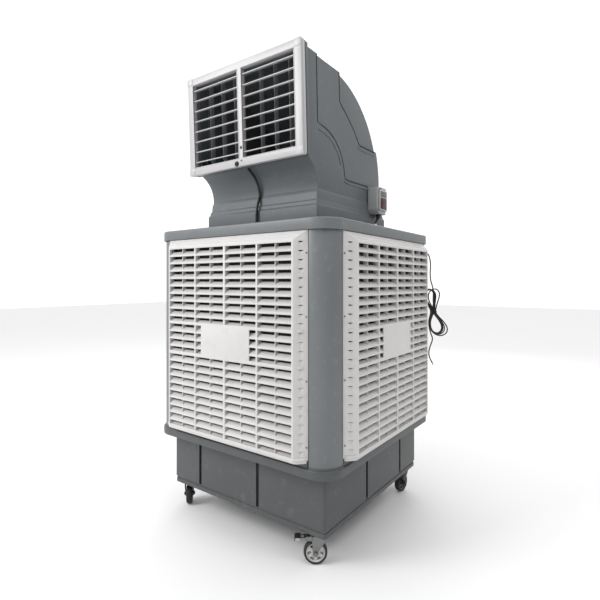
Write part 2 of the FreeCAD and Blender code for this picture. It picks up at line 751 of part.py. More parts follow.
def make_box_cable():
    """From the control box down to its gland on the roof."""
    route = [(378, 198, 1536), (378, 191, 1521), (379, 178, 1508), (380, 163, 1497), (380, 152, 1484)]
    tube = cord_tube("box_cable", [Vector(*p) for p in route], 7.0)
    gland = Part.makeCylinder(12, 46, Vector(380, 150, cap_top))
    return tube.fuse(gland)


def save(name, shape):
    solids = shape.Solids
    for solid in solids:
        if not solid.isValid():
            print("NOT VALID", name)
    box = shape.BoundBox
    nodes[name] = shape
    sides = box.XMin, box.XMax, box.YMin, box.YMax, box.ZMin, box.ZMax
    print(name, len(solids), "solids", [round(side, 1) for side in sides])
    whole = solids[0] if len(solids) == 1 else Part.makeCompound(solids)
    whole.exportStep("parts/" + name + ".step")


os.makedirs("parts", exist_ok=True)

save("water_tank", make_tank())
save("base_pan", make_base_pan())
column = make_column()
panel = make_intake_panel()
for quarter, (column_name, panel_name) in enumerate((("front_right", "front"), ("rear_right", "right"),
                                                     ("rear_left", "rear"), ("front_left", "left"))):
    this_column = turned(column, 90.0 * quarter)
    if column_name == "rear_right":
        this_column = this_column.cut(make_cord_gland())
    save("column_" + column_name, this_column)
    save("intake_panel_" + panel_name, turned(panel, 90.0 * quarter))
save("panel_screws", make_panel_screws())
save("cooling_pads", make_cooling_pads())
save("top_cover", make_top_cover())
save("fan_shroud", make_fan_shroud())
save("motor_bracket", make_motor_bracket())
save("fan_motor", make_fan_motor())
save("fan_rotor", make_fan_rotor())
save("elbow_duct", make_elbow_duct())
save("outlet_frame", make_outlet_frame())
for row in range(row_count):
    save("louvre_row_%d" % (row + 1), make_louvre_row(row))
for place, u in enumerate(vane_places):
    save("vane_%d" % (place + 1), make_vane(u))
save("vane_link", make_vane_link())
save("swing_motor", make_swing_motor())
save("caster_frame", make_caster_frame())
for corner_name in caster_corners:
    save("caster_fork_" + corner_name, make_fork(corner_name))
    save("caster_wheel_" + corner_name, make_wheel(corner_name))
for corner_name in braked_casters:
    save("brake_pedal_" + corner_name, make_brake_pedal(corner_name))
save("control_box", make_control_box())
save("control_box_cover", make_control_box_cover())
save("breaker_toggle", make_breaker_toggle())
save("float_valve", make_float_valve())
save("float_arm", make_float_arm())
save("drain_plug", make_drain_plug())
save("pump", make_pump())
save("water_distributor", make_water_distributor())
save("swing_cable", make_swing_cable())
save("box_cable", make_box_cable())
save("cord_gland", make_cord_gland())
save("cord_lead", cord_tube("cord_lead", [diagonal(*p) for p in lead_points], cord_radius))
save("cord_hank", make_cord_hank())
save("cord_tail", cord_tube("cord_tail", [diagonal(*p) for p in tail_points], cord_radius))
print(len(nodes), "nodes")
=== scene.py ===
import bmesh
import bpy
import math
from mathutils import Matrix, Vector


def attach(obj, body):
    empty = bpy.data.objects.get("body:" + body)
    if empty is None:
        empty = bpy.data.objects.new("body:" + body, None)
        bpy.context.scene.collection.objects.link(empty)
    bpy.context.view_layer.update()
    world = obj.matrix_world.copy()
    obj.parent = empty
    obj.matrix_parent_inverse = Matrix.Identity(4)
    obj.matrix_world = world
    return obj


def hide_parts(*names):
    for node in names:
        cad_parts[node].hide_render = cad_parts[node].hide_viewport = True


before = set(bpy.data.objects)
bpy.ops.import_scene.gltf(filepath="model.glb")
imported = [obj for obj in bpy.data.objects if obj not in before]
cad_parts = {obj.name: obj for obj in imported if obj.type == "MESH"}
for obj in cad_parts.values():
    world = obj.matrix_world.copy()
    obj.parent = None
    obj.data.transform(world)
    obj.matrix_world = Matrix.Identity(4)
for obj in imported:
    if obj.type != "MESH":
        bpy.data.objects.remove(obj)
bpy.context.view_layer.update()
print("frame loaded:", len(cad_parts), "nodes")

# small modelling helpers; every length below is in millimetres, and mm turns it into metres

mm = 0.001


def inMetres(points):
    return [Vector(point) * mm for point in points]


def deselectAll():
    if bpy.context.mode != "OBJECT":
        bpy.ops.object.mode_set(mode="OBJECT")
    bpy.ops.object.select_all(action="DESELECT")


def makeActive(piece):
    deselectAll()
    piece.select_set(True)
    bpy.context.view_layer.objects.active = piece


def settle(name):
    # the primitive just added gets its name, and its place goes into its mesh
    piece = bpy.context.active_object
    piece.name = name
    piece.data.name = name
    bpy.ops.object.transform_apply(location=True, rotation=True, scale=True)
    return piece


def addBox(name, low, high):
    # a box between two opposite corners, given either way round
    deselectAll()
    low, high = inMetres(zip(*map(sorted, zip(low, high))))
    bpy.ops.mesh.primitive_cube_add(size=1, location=(low + high) / 2)
    bpy.context.active_object.scale = high - low
    return settle(name)


def addRod(name, start, end, radius, sides=24, endRadius=None):
    deselectAll()
    start, end = inMetres((start, end))
    along = end - start
    bpy.ops.mesh.primitive_cone_add(vertices=sides, radius1=radius * mm, radius2=(endRadius or radius) * mm,
                                    depth=along.length, location=(start + end) / 2,
                                    rotation=along.to_track_quat("Z", "Y").to_euler())
    return settle(name)


def addOutline(name, points, along):
    # a circle's vertices are set on the outline, then the face is extruded
    deselectAll()
    bpy.ops.mesh.primitive_circle_add(vertices=len(points), radius=1, fill_type="NGON")
    piece = settle(name)
    for vertex, point in zip(piece.data.vertices, inMetres(points)):
        vertex.co = point
    bpy.ops.object.mode_set(mode="EDIT")
    bpy.ops.mesh.select_all(action="SELECT")
    bpy.ops.mesh.extrude_region_move(TRANSFORM_OT_translate={"value": Vector(along) * mm})
    faceOutwards()
    bpy.ops.object.mode_set(mode="OBJECT")
    return piece


def addTurned(name, profile, middle, axis, steps=32):
    # (radius, height) points spun round an axis through middle; the ends are on it or the loop is closed
    deselectAll()
    axis = Vector(axis).normalized()
    side = axis.orthogonal().normalized()
    middle = Vector(middle)
    bpy.ops.mesh.primitive_circle_add(vertices=len(profile), radius=1, fill_type="NOTHING")
    piece = settle(name)
    for vertex, (radius, height) in zip(piece.data.vertices, profile):
        vertex.co = (middle + side * radius + axis * height) * mm
    bpy.ops.object.mode_set(mode="EDIT")
    bpy.ops.mesh.select_all(action="SELECT")
    bpy.ops.mesh.spin(steps=steps, angle=math.radians(360), center=middle * mm, axis=axis)
    faceOutwards()
    bpy.ops.object.mode_set(mode="OBJECT")
    return piece


def faceOutwards():
    bpy.ops.mesh.select_all(action="SELECT")
    bpy.ops.mesh.remove_doubles(threshold=0.00001)
    bpy.ops.mesh.delete_loose()
    bpy.ops.mesh.select_all(action="SELECT")
    bpy.ops.mesh.normals_make_consistent(inside=False)


def openEdit(piece):
    makeActive(piece)
    bpy.ops.object.mode_set(mode="EDIT")


def closeEdit():
    bpy.ops.object.mode_set(mode="OBJECT")


def pickFaces(piece, test):
    # test gets a face's middle in millimetres and its normal
    bpy.ops.mesh.select_mode(type="FACE")
    bpy.ops.mesh.select_all(action="DESELECT")
    mesh = bmesh.from_edit_mesh(piece.data)
    mesh.normal_update()
    for face in mesh.faces:
        if test(face.calc_center_median() / mm, face.normal):
            face.select_set(True)
    bmesh.update_edit_mesh(piece.data)


def pickEdges(piece, test):
    # test gets an edge's middle in millimetres and its direction
    bpy.ops.mesh.select_mode(type="EDGE")
    bpy.ops.mesh.select_all(action="DESELECT")
    mesh = bmesh.from_edit_mesh(piece.data)
    for edge in mesh.edges:
        first, second = edge.verts[0].co, edge.verts[1].co
        if test((first + second) / 2 / mm, (second - first).normalized()):
            edge.select_set(True)
    bmesh.update_edit_mesh(piece.data)


def bevelPicked(width, segments):
    bpy.ops.mesh.bevel(offset=width * mm, offset_type="OFFSET", segments=segments, profile=0.5,
                       affect="EDGES")


def extrudeBy(along):
    bpy.ops.mesh.extrude_region_move(TRANSFORM_OT_translate={"value": Vector(along) * mm})


def applyModifier(piece, kind, **settings):
    makeActive(piece)
    modifier = piece.modifiers.new(kind.title(), kind)
    for key, value in settings.items():
        setattr(modifier, key, value)
    bpy.ops.object.modifier_apply(modifier=modifier.name)
    return piece


def softenEdges(piece, width, segments=2, angle=30):
    return applyModifier(piece, "BEVEL", width=width * mm, segments=segments, limit_method="ANGLE",
                         angle_limit=math.radians(angle), use_clamp_overlap=True)


def bevelEdges(piece, test, width, segments):
    openEdit(piece)
    pickEdges(piece, test)
    bevelPicked(width, segments)
    closeEdit()


def combine(piece, other, operation="DIFFERENCE"):
    applyModifier(piece, "BOOLEAN", operation=operation, solver="EXACT", object=other)
    bpy.data.objects.remove(other)
    return piece


def joinAll(name, pieces):
    deselectAll()
    for piece in pieces:
        piece.select_set(True)
    bpy.context.view_layer.objects.active = pieces[0]
    if len(pieces) > 1:
        bpy.ops.object.join()
    pieces[0].name = name
    pieces[0].data.name = name
    return pieces[0]


def copyOf(piece, name, matrix=None):
    twin = piece.copy()
    twin.data = piece.data.copy()
    twin.name = name
    twin.data.name = name
    bpy.context.collection.objects.link(twin)
    if matrix is not None:
        twin.data.transform(matrix)
    return twin


def movedBy(along):
    return Matrix.Translation(Vector(along) * mm)


def quarterTurn(count):
    return Matrix.Rotation(math.radians(90 * count), 4, "Z")


def cutBox(piece, low, high):
    return combine(piece, addBox("cutter", low, high))


def softBox(name, low, high, width, segments=2, angle=30):
    return softenEdges(addBox(name, low, high), width, segments, angle)


def toMesh(curve):
    makeActive(curve)
    bpy.ops.object.convert(target="MESH")
    return bpy.context.active_object


def roundedSquare(half, radius, z, steps=12):
    # points round a square with round corners
    points = []
    middle = half - radius
    for corner in range(4):
        turn = Matrix.Rotation(math.radians(90 * corner), 3, "Z")
        for step in range(steps + 1):
            angle = math.radians(90 * step / steps)
            point = Vector((middle + radius * math.cos(angle), middle + radius * math.sin(angle), 0))
            points.append(turn @ point + Vector((0, 0, z)))
    return points


def arcPoints(middle, radius, first, last, steps):
    # (a, b) pairs along an arc, angles in degrees
    angles = [math.radians(first + (last - first) * step / steps) for step in range(steps + 1)]
    return [(middle[0] + radius * math.cos(angle), middle[1] + radius * math.sin(angle)) for angle in angles]


def arcVia(start, via, end, steps):
    # (a, b) pairs on the arc from start to end through via
    (ax, ay), (bx, by), (cx, cy) = start, via, end
    cross = 2 * (ax * (by - cy) + bx * (cy - ay) + cx * (ay - by))
    squares = [x * x + y * y for x, y in (start, via, end)]
    mx = (squares[0] * (by - cy) + squares[1] * (cy - ay) + squares[2] * (ay - by)) / cross
    my = (squares[0] * (cx - bx) + squares[1] * (ax - cx) + squares[2] * (bx - ax)) / cross
    first = math.degrees(math.atan2(ay - my, ax - mx))
    last = math.degrees(math.atan2(cy - my, cx - mx))
    last += 360 * round((first - last) / 360)
    return arcPoints((mx, my), math.hypot(ax - mx, ay - my), first, last, steps)


def offsetLine(line, distance):
    # a line of (a, b) pairs moved sideways, to its left
    moved = []
    for index, point in enumerate(line):
        before = Vector(line[max(index - 1, 0)])
        after = Vector(line[min(index + 1, len(line) - 1)])
        along = (after - before).normalized()
        moved.append((point[0] - along.y * distance, point[1] + along.x * distance))
    return moved


def offsetLoop(loop, distance):
    # a closed loop of (a, b) pairs moved to its left
    count = len(loop)
    moved = []
    for index, point in enumerate(loop):
        into = (Vector(point) - Vector(loop[index - 1])).normalized()
        away = (Vector(loop[(index + 1) % count]) - Vector(point)).normalized()
        corner = Vector((-into.y - away.y, into.x + away.x))
        corner *= distance / max(0.2, 0.5 * corner.length_squared)
        moved.append((point[0] + corner.x, point[1] + corner.y))
    return moved


def sidePrism(name, loop, half):
    # a loop of (y, z) pairs, as wide as half on both sides of the middle
    return addOutline(name, [(-half, y, z) for y, z in loop], (2 * half, 0, 0))


# materials

def addSlab(name, half, corner, low, high):
    # an upright block with round corners
    return addOutline(name, roundedSquare(half, corner, low), (0, 0, high - low))


def setSockets(tree, node, sockets):
    # each socket gets its value, or a link where another node's output is given
    for key, value in sockets.items():
        if isinstance(value, bpy.types.NodeSocket):
            tree.links.new(value, node.inputs[key])
        else:
            node.inputs[key].default_value = value


def addNode(tree, kind, sockets, **settings):
    node = tree.nodes.new("ShaderNode" + kind)
    for key, value in settings.items():
        setattr(node, key, value)
    setSockets(tree, node, sockets)
    return node


def addNoise(tree, place, scale, detail, roughness=0.5):
    sockets = {"Vector": place, "Scale": scale, "Detail": detail, "Roughness": roughness}
    return addNode(tree, "TexNoise", sockets).outputs["Fac"]


def addRamp(tree, amount, stops):
    ramp = addNode(tree, "ValToRGB", {"Fac": amount})
    for element, (place, colour) in zip(ramp.color_ramp.elements, stops):
        element.position = place
        element.color = (*colour, 1)
    return ramp.outputs["Color"]


plainLook = {"cloudScale": 3.0, "mottle": 0.08, "dustScale": 60.0, "dustStart": 0.58, "dustFull": 0.78,
             "dustMost": 0.5, "sheenRange": 0.06, "skinScale": 900.0, "bump": 0.12, "skinDeep": 0.001,
             "waveStrength": 0.35, "waveDeep": 0.01, "metallic": 0.0, "specular": 0.5, "coat": 0.0,
             "coatRoughness": 0.15}


def newMaterial(name, look):
    # moulded or painted surface: mottled colour, dust, uneven sheen, a fine skin and slow waves
    look = {**plainLook, **look}
    material = bpy.data.materials.new(name)
    material.use_nodes = True
    tree = material.node_tree
    place = addNode(tree, "TexCoord", {}).outputs["Object"]
    cloud = addNoise(tree, place, look["cloudScale"], 5.0, 0.6)
    dark = [c * (1 - look["mottle"]) for c in look["colour"]]
    light = [min(1.0, c * (1 + look["mottle"])) for c in look["colour"]]
    colour = addRamp(tree, cloud, ((0.3, dark), (0.7, light)))
    if "dust" in look:
        speck = addNoise(tree, place, look["dustScale"], 8.0)
        fall = addRamp(tree, speck, ((look["dustStart"], [0] * 3), (look["dustFull"], [look["dustMost"]] * 3)))
        colour = addNode(tree, "Mix", {"Factor": fall, "A": colour, "B": (*look["dust"], 1)},
                         data_type="RGBA").outputs["Result"]
    sheen = addNode(tree, "MapRange", {"Value": cloud, "To Min": look["roughness"] - look["sheenRange"],
                                       "To Max": look["roughness"] + look["sheenRange"]})
    grain = place
    if "brush" in look:
        grain = addNode(tree, "Mapping", {"Vector": place, "Scale": look["brush"]}).outputs["Vector"]
    skin = addNoise(tree, grain, look["skinScale"], 3.0)
    bump = {"Height": skin, "Strength": look["bump"], "Distance": look["skinDeep"]}
    if "wave" in look:
        wave = addNoise(tree, place, look["wave"], 1.0)
        swell = {"Height": wave, "Strength": look["waveStrength"], "Distance": look["waveDeep"]}
        bump["Normal"] = addNode(tree, "Bump", swell).outputs["Normal"]
    setSockets(tree, tree.nodes["Principled BSDF"], {
        "Base Color": colour, "Roughness": sheen.outputs["Result"],
        "Normal": addNode(tree, "Bump", bump).outputs["Normal"], "Metallic": look["metallic"],
        "Specular IOR Level": look["specular"], "Coat Weight": look["coat"],
        "Coat Roughness": look["coatRoughness"]})
    return material


looks = {
    "greyMoulding": {"colour": (0.145, 0.158, 0.164), "roughness": 0.42, "mottle": 0.05, "wave": 2.2,
                     "dust": (0.21, 0.23, 0.235), "dustScale": 35.0, "bump": 0.1},
    # the cabinet's grey moulding made darker for the duct: painted shade on the duct's sides and underside
    "greyDuctMouldingPaintedShade": {"colour": (0.118, 0.129, 0.135), "roughness": 0.46, "mottle": 0.06, "wave": 2.2,
                         "specular": 0.32, "dust": (0.17, 0.185, 0.19), "dustScale": 35.0, "bump": 0.1},
    "greyPanMoulding": {"colour": (0.07, 0.075, 0.078), "roughness": 0.44, "mottle": 0.06, "wave": 2.6,
                        "dust": (0.11, 0.12, 0.125), "dustScale": 30.0, "bump": 0.1},
    # the tank's grey: a darker plastic, made darker still as painted shade under the pan's overhang
    "greyTankMouldingAndPaintedShade": {"colour": (0.076, 0.081, 0.083), "roughness": 0.46, "mottle": 0.07, "wave": 3.0,
                         "specular": 0.35, "dust": (0.14, 0.15, 0.155), "dustScale": 25.0},
    "whiteLouvrePlastic": {"colour": (0.60, 0.588, 0.582), "roughness": 0.40, "mottle": 0.02,
                           "dust": (0.5, 0.485, 0.46), "dustScale": 14.0, "bump": 0.06},
    "whiteOutletPlastic": {"colour": (0.45, 0.44, 0.445), "roughness": 0.36, "mottle": 0.02,
                           "dust": (0.38, 0.375, 0.37), "dustScale": 18.0, "bump": 0.05},
    "collarPlastic": {"colour": (0.16, 0.19, 0.2), "roughness": 0.5, "mottle": 0.1},
    "vanePlastic": {"colour": (0.26, 0.27, 0.28), "roughness": 0.4},
    "blackPlastic": {"colour": (0.012, 0.012, 0.013), "roughness": 0.5, "mottle": 0.2, "bump": 0.2},
    "blackCable": {"colour": (0.008, 0.008, 0.009), "roughness": 0.42, "mottle": 0.25, "skinScale": 1600.0},
    "paperPad": {"colour": (0.055, 0.045, 0.036), "roughness": 0.9, "mottle": 0.35, "cloudScale": 18.0,
                 "bump": 0.5, "skinScale": 260.0},
    "waterPipe": {"colour": (0.55, 0.56, 0.56), "roughness": 0.35},
    "fanPlastic": {"colour": (0.03, 0.032, 0.035), "roughness": 0.45, "mottle": 0.15},
    "motorPaint": {"colour": (0.05, 0.075, 0.11), "roughness": 0.38, "coat": 0.3, "mottle": 0.12},
    "blackSteel": {"colour": (0.015, 0.015, 0.016), "roughness": 0.4, "metallic": 0.2, "mottle": 0.25,
                   "dust": (0.07, 0.065, 0.06)},
    "zincSteel": {"colour": (0.22, 0.22, 0.218), "roughness": 0.38, "metallic": 1.0, "mottle": 0.1,
                  "brush": (300, 300, 40), "skinScale": 4.0, "bump": 0.25, "sheenRange": 0.1},
    "screwSteel": {"colour": (0.22, 0.22, 0.22), "roughness": 0.38, "metallic": 1.0},
    "treadRubber": {"colour": (0.012, 0.012, 0.013), "roughness": 0.62, "mottle": 0.25,
                    "dust": (0.06, 0.055, 0.05), "dustScale": 90.0, "bump": 0.3},
    "hubPlastic": {"colour": (0.5, 0.5, 0.49), "roughness": 0.42},
    "hubBlack": {"colour": (0.03, 0.03, 0.032), "roughness": 0.4},
    "windowRed": {"colour": (0.05, 0.004, 0.007), "roughness": 0.34, "specular": 0.25, "bump": 0.02},
    "greyBoxPlastic": {"colour": (0.42, 0.435, 0.43), "roughness": 0.45},
    "coverInset": {"colour": (0.13, 0.135, 0.135), "roughness": 0.5},
    "whiteFitting": {"colour": (0.72, 0.72, 0.7), "roughness": 0.4},
    "valveBrass": {"colour": (0.6, 0.42, 0.16), "roughness": 0.3, "metallic": 1.0, "mottle": 0.12},
    "coreSleeve": {"colour": (0.13, 0.12, 0.11), "roughness": 0.5},
}
materials = {name: newMaterial(name, look) for name, look in looks.items()}
print("materials made:", len(materials))


def paint(material, *pieces):
    for piece in pieces:
        piece.data.materials.clear()
        piece.data.materials.append(materials[material])


def finishPiece(piece, material, body="cabinet", stands=(), smooth=35):
    # shade, paint and hand a piece to its body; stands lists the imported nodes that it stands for
    if smooth:
        makeActive(piece)
        bpy.ops.object.shade_smooth_by_angle(angle=math.radians(smooth))
    if material:                                            # a piece already painted is given None
        paint(material, piece)
    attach(piece, body)
    if stands:
        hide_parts(*stands)
    return piece


# camera, lights and floor

shot = {"place": (1.4733, -2.0061, 1.1861), "turn": 36.3, "lens": 27.14, "rise": -0.032}


stage = {
    "floor": (0.86, 0.86, 0.86), "floorSize": 40,
    "bright": (-0.7, 0.35, 0.6),                            # where the studio is brightest
    "fade": {"From Min": -0.7, "From Max": 0.6, "To Min": 0.33, "To Max": 1.2},
    "lamps": (("keyLamp", (-2.6, -4.2, 3.8), (0, 0, 1.2), 2.2, 155),
              ("backLamp", (-1.5, 4.5, 3.4), (0, 0, 1.4), 3.0, 60),
              ("rightLamp", (3.4, -0.8, 4.6), (0.5, 0, 1), 1.6, 38)),
}


def makeCamera():
    camera = bpy.data.objects.new("shotCamera", bpy.data.cameras.new("shotCamera"))
    bpy.context.collection.objects.link(camera)
    camera.location = shot["place"]
    camera.rotation_euler = (math.radians(90), 0, math.radians(shot["turn"]))
    camera.data.sensor_width = 36
    camera.data.lens = shot["lens"]
    camera.data.shift_y = shot["rise"]
    camera.data.clip_end = 60
    bpy.context.scene.camera = camera


def addLamp(name, place, aim, size, power):
    lamp = bpy.data.objects.new(name, bpy.data.lights.new(name, "AREA"))
    bpy.context.collection.objects.link(lamp)
    lamp.data.shape = "SQUARE"
    lamp.data.size = size
    lamp.data.energy = power
    lamp.location = place
    lamp.rotation_euler = (Vector(aim) - Vector(place)).to_track_quat("-Z", "Y").to_euler()


def makeStage():
    deselectAll()
    bpy.ops.mesh.primitive_plane_add(size=stage["floorSize"], location=(0, 0, 0))
    floor = settle("paleFloor")
    material = bpy.data.materials.new("paleFloor")
    material.use_nodes = True
    tree = material.node_tree
    setSockets(tree, tree.nodes["Principled BSDF"], {"Base Color": (*stage["floor"], 1), "Roughness": 0.9})
    floor.data.materials.append(material)
    world = bpy.data.worlds.new("studio")
    bpy.context.scene.world = world
    world.use_nodes = True
    tree = world.node_tree
    # a bright sweep behind and above, fading to a dim side on the right
    place = addNode(tree, "TexCoord", {}).outputs["Object"]
    facing = addNode(tree, "VectorMath", {0: place, 1: stage["bright"]}, operation="DOT_PRODUCT")
    fade = addNode(tree, "MapRange", {"Value": facing.outputs["Value"], **stage["fade"]})
    setSockets(tree, tree.nodes["Background"], {"Strength": fade.outputs["Result"], "Color": (1, 1, 1, 1)})
    for lamp in stage["lamps"]:
        addLamp(*lamp)
    bpy.context.scene.view_settings.view_transform = "Standard"


makeCamera()
makeStage()
print("camera and stage ready")


# mains lead: gland, lead, hank and tail, one line in an upright plane

mains = {
    "thickness": 7.0, "length": 3.787,
    "glandFoot": (708, 1371), "glandEnd": (734, 1352),
    # (out, up, across) along the rear right diagonal
    "lead": [(748, 1338), (757, 1310), (761, 1274), (757, 1231), (760, 1188), (766, 1150, -16),
             (767, 1118, -22), (766, 1082, -20), (769, 1044, -18.5)],
    "waist": (777, 1008),
    # one turn round the waist, as (out, up) from it: the lower loop, then the upper one
    "turn": [(-4, 0), (-14, -28), (-22, -60), (-17, -95), (3, -120), (31, -128), (55, -113), (60, -86),
             (44, -55), (19, -26), (4, 0), (7, 38), (14, 74), (16, 100), (5, 122), (-16, 131), (-37, 122),
             (-48, 100), (-43, 70), (-20, 34)],
    # each lap's reach below and above the waist, and how far it leans
    "laps": [(1.34, 1.08, 20), (1.1, 0.98, -4), (1.0, 1.06, -10), (0.92, 0.94, 0), (1.05, 1.02, -6)],
    "step": 7.4, "nearSide": -18.5,
    "tail": [(756, 955, 18.5), (761, 912, 20), (772, 878, 21), (779, 858, 17), (774, 843, 6), (765, 827, 1),
             (753, 797), (748, 766), (756, 738), (769, 717)],
    "tieOut": 12.5, "tieAcross": 24, "tieThick": 2.4, "ties": ((-5, 0.1), (3, -0.08)),
    "cores": ((-2, 15), (1.5, 18), (3, 12)),                # sideways place and drop of each bare core
}


def diagonal(out, up, across=0.0):
    # out along the rear right diagonal, up, and across it, to metres
    return Vector(((out - across) / math.sqrt(2), (out + across) / math.sqrt(2), up)) * mm


def mainsRoute():
    waistOut, waistUp = mains["waist"]
    turn, laps, near, step = mains["turn"], mains["laps"], mains["nearSide"], mains["step"]
    points = [diagonal(*point) for point in [mains["glandEnd"]] + mains["lead"]]
    for lap, (lower, upper, lean) in enumerate(laps):
        for index, (out, up) in enumerate(turn):
            reach = lower if up < 0 else upper
            stretch = reach if abs(out) > 5 else 1.0
            aside = lean * max(0, up) / 131
            points.append(diagonal(waistOut + out * stretch + aside, waistUp + up * (0.75 + 0.25 * reach),
                                   near + step * (lap + index / len(turn))))
    points.append(diagonal(waistOut - 4, waistUp, near + step * len(laps)))
    return points + [diagonal(*point) for point in mains["tail"]]


def curveThrough(name, points, radius):
    data = bpy.data.curves.new(name, "CURVE")
    data.dimensions = "3D"
    data.bevel_depth = radius
    data.bevel_resolution = 3
    data.resolution_u = 6
    data.use_fill_caps = True
    spline = data.splines.new("NURBS")
    spline.points.add(len(points) - 1)
    for knot, point in zip(spline.points, points):
        knot.co = (*point, 1)
    spline.order_u = 3
    spline.use_endpoint_u = True
    curve = bpy.data.objects.new(name, data)
    bpy.context.collection.objects.link(curve)
    return curve


def makeMainsLead():
    cord = curveThrough("mainsLead", mainsRoute(), mains["thickness"] / 2 * mm)
    cord.data.materials.append(materials["blackCable"])
    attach(cord, "cabinet")
    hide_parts("cord_lead", "cord_hank", "cord_tail")

    foot, end = diagonal(*mains["glandFoot"]) / mm, diagonal(*mains["glandEnd"]) / mm
    turned = (end - foot).length
    profile = [(0, 0), (9.5, 0), (9.5, 2), (8.6, 3), (8.6, 12), (9.2, 13), (9.2, 15), (8, 17)]
    for ring in range(5):                                   # ribs of the bend relief, thinner towards the lead
        at = 18 + ring * (turned - 20) / 5
        thick = 7.6 - ring * 0.55
        profile += [(thick, at), (thick, at + 1.4), (thick - 1.1, at + 1.7), (thick - 1.1, at + 2.3)]
    profile += [(4.9, turned - 0.6), (4.2, turned), (0, turned)]
    gland = addTurned("mainsGland", profile, foot, (end - foot).normalized(), 20)
    finishPiece(gland, "blackPlastic", stands=("cord_gland",))

    ties = []
    waistOut, waistUp = mains["waist"]
    for lift, tilt in mains["ties"]:
        loop = []
        for step in range(20):
            angle = math.radians(18 * step)
            sideways, forward = (math.copysign(abs(part) ** 0.6, part)
                                 for part in (math.sin(angle), math.cos(angle)))
            out = waistOut + mains["tieOut"] * forward
            loop.append(diagonal(out, waistUp + lift + tilt * (out - waistOut), mains["tieAcross"] * sideways))
        band = curveThrough("tieBand", loop, mains["tieThick"] * mm)
        band.data.splines[0].use_endpoint_u = False
        band.data.splines[0].use_cyclic_u = True
        ties.append(toMesh(band))
    tie = finishPiece(joinAll("mainsLeadTie", ties), "blackPlastic")

    # bare end: the sheath stops, three cores go on a little way
    out, up = mains["tail"][-1]
    sleeve = addRod("sheathEnd", diagonal(out - 3, up + 5) / mm, diagonal(out + 0.5, up - 0.8) / mm, 4.0, 16)
    finishPiece(sleeve, "blackPlastic")
    cores = [addRod("core", diagonal(out + aside * 0.4, up, aside * 0.5) / mm,
                    diagonal(out + 4 + aside * 2, up - drop, aside) / mm, 1.1, 8)
             for aside, drop in mains["cores"]]
    core = finishPiece(joinAll("mainsCores", cores), "coreSleeve")


makeMainsLead()
print("mains lead made")


# water tank

tank = {
    "half": 470, "corner": 12, "low": 159, "high": 397, "bevel": 5, "wall": 5, "rim": 10,
    "skirtLow": 131, "skirtIn": 3, "bandTop": 151, "neckIn": 3.4,
    "grooveWide": 18, "grooveDeep": 12, "frontGrooves": (-276, 106), "sideGrooves": (-108, 262),
    "ports": ((200, 352, 17), (-200, 195, 19)),             # inlet and drain: across, height, boss radius
}


def makeTank():
    half, corner, low, high = tank["half"], tank["corner"], tank["low"], tank["high"]
    wide, deep = tank["grooveWide"] / 2, -half + tank["grooveDeep"]
    shell = addSlab("waterTankShell", half, corner, low, high)
    bevelEdges(shell, lambda at, along: at.z < low + 0.1, tank["bevel"], 3)
    openEdit(shell)
    pickFaces(shell, lambda at, normal: normal.z > 0.9 and at.z > high - 1)
    bpy.ops.mesh.inset(thickness=tank["wall"] * mm)
    extrudeBy((0, 0, -(high - low - tank["bevel"] - tank["wall"])))
    faceOutwards()
    closeEdit()
    for quarter in range(4):
        for place in tank["sideGrooves"] if quarter % 2 else tank["frontGrooves"]:
            cutter = addBox("grooveCutter", (place - wide, -half - 5, low), (place + wide, deep, high - 6))
            back = addBox("grooveBack", (place - wide - 5, deep, low + 1),
                          (place + wide + 5, deep + 5, high - 1))
            for block, operation in ((cutter, "DIFFERENCE"), (back, "UNION")):
                block.data.transform(quarterTurn(quarter))
                combine(shell, block, operation)
    softenEdges(shell, 1.6, 2, 40)
    edge, foot, band = half - tank["skirtIn"], tank["skirtLow"], tank["bandTop"]
    skirt = addSlab("tankSkirt", edge, corner - 4, foot, band)
    combine(skirt, addSlab("tankNeck", edge - tank["neckIn"], corner - 6, band - 1, low + 3), "UNION")
    combine(skirt, addSlab("skirtHole", edge - 7, corner - 9, foot - 5, foot + 55))
    softenEdges(skirt, 1.4, 3, 40)
    rim = addSlab("tankRim", half + tank["rim"], corner + tank["rim"], high - 5, high)
    combine(rim, addSlab("rimHole", half - 1, corner - 1, high - 9, high + 5))
    softenEdges(rim, 1.2, 2, 40)
    ports = [addTurned("portBoss", [(reach - 4, 0), (reach, 0), (reach, 3.4), (reach - 1.2, 4), (reach - 4, 4)],
                       (x, half - 0.5, z), (0, 1, 0), 28) for x, z, reach in tank["ports"]]
    whole = joinAll("waterTank", [shell, skirt, rim] + ports)
    # the tank's colour is partly its own darker plastic, partly painted shade
    finishPiece(whole, "greyTankMouldingAndPaintedShade", stands=("water_tank",))


makeTank()


# base pan

pan = {"half": 540, "corner": 100, "low": 397, "high": 434, "wall": 7, "floor": 6, "opening": 446,
       "sillTop": 467, "sillHalf": 427, "sillFace": 532, "sillDeep": 25,
       "ringMiddle": 432, "ringRadius": 104, "ringInner": 96, "ringHigh": 440}


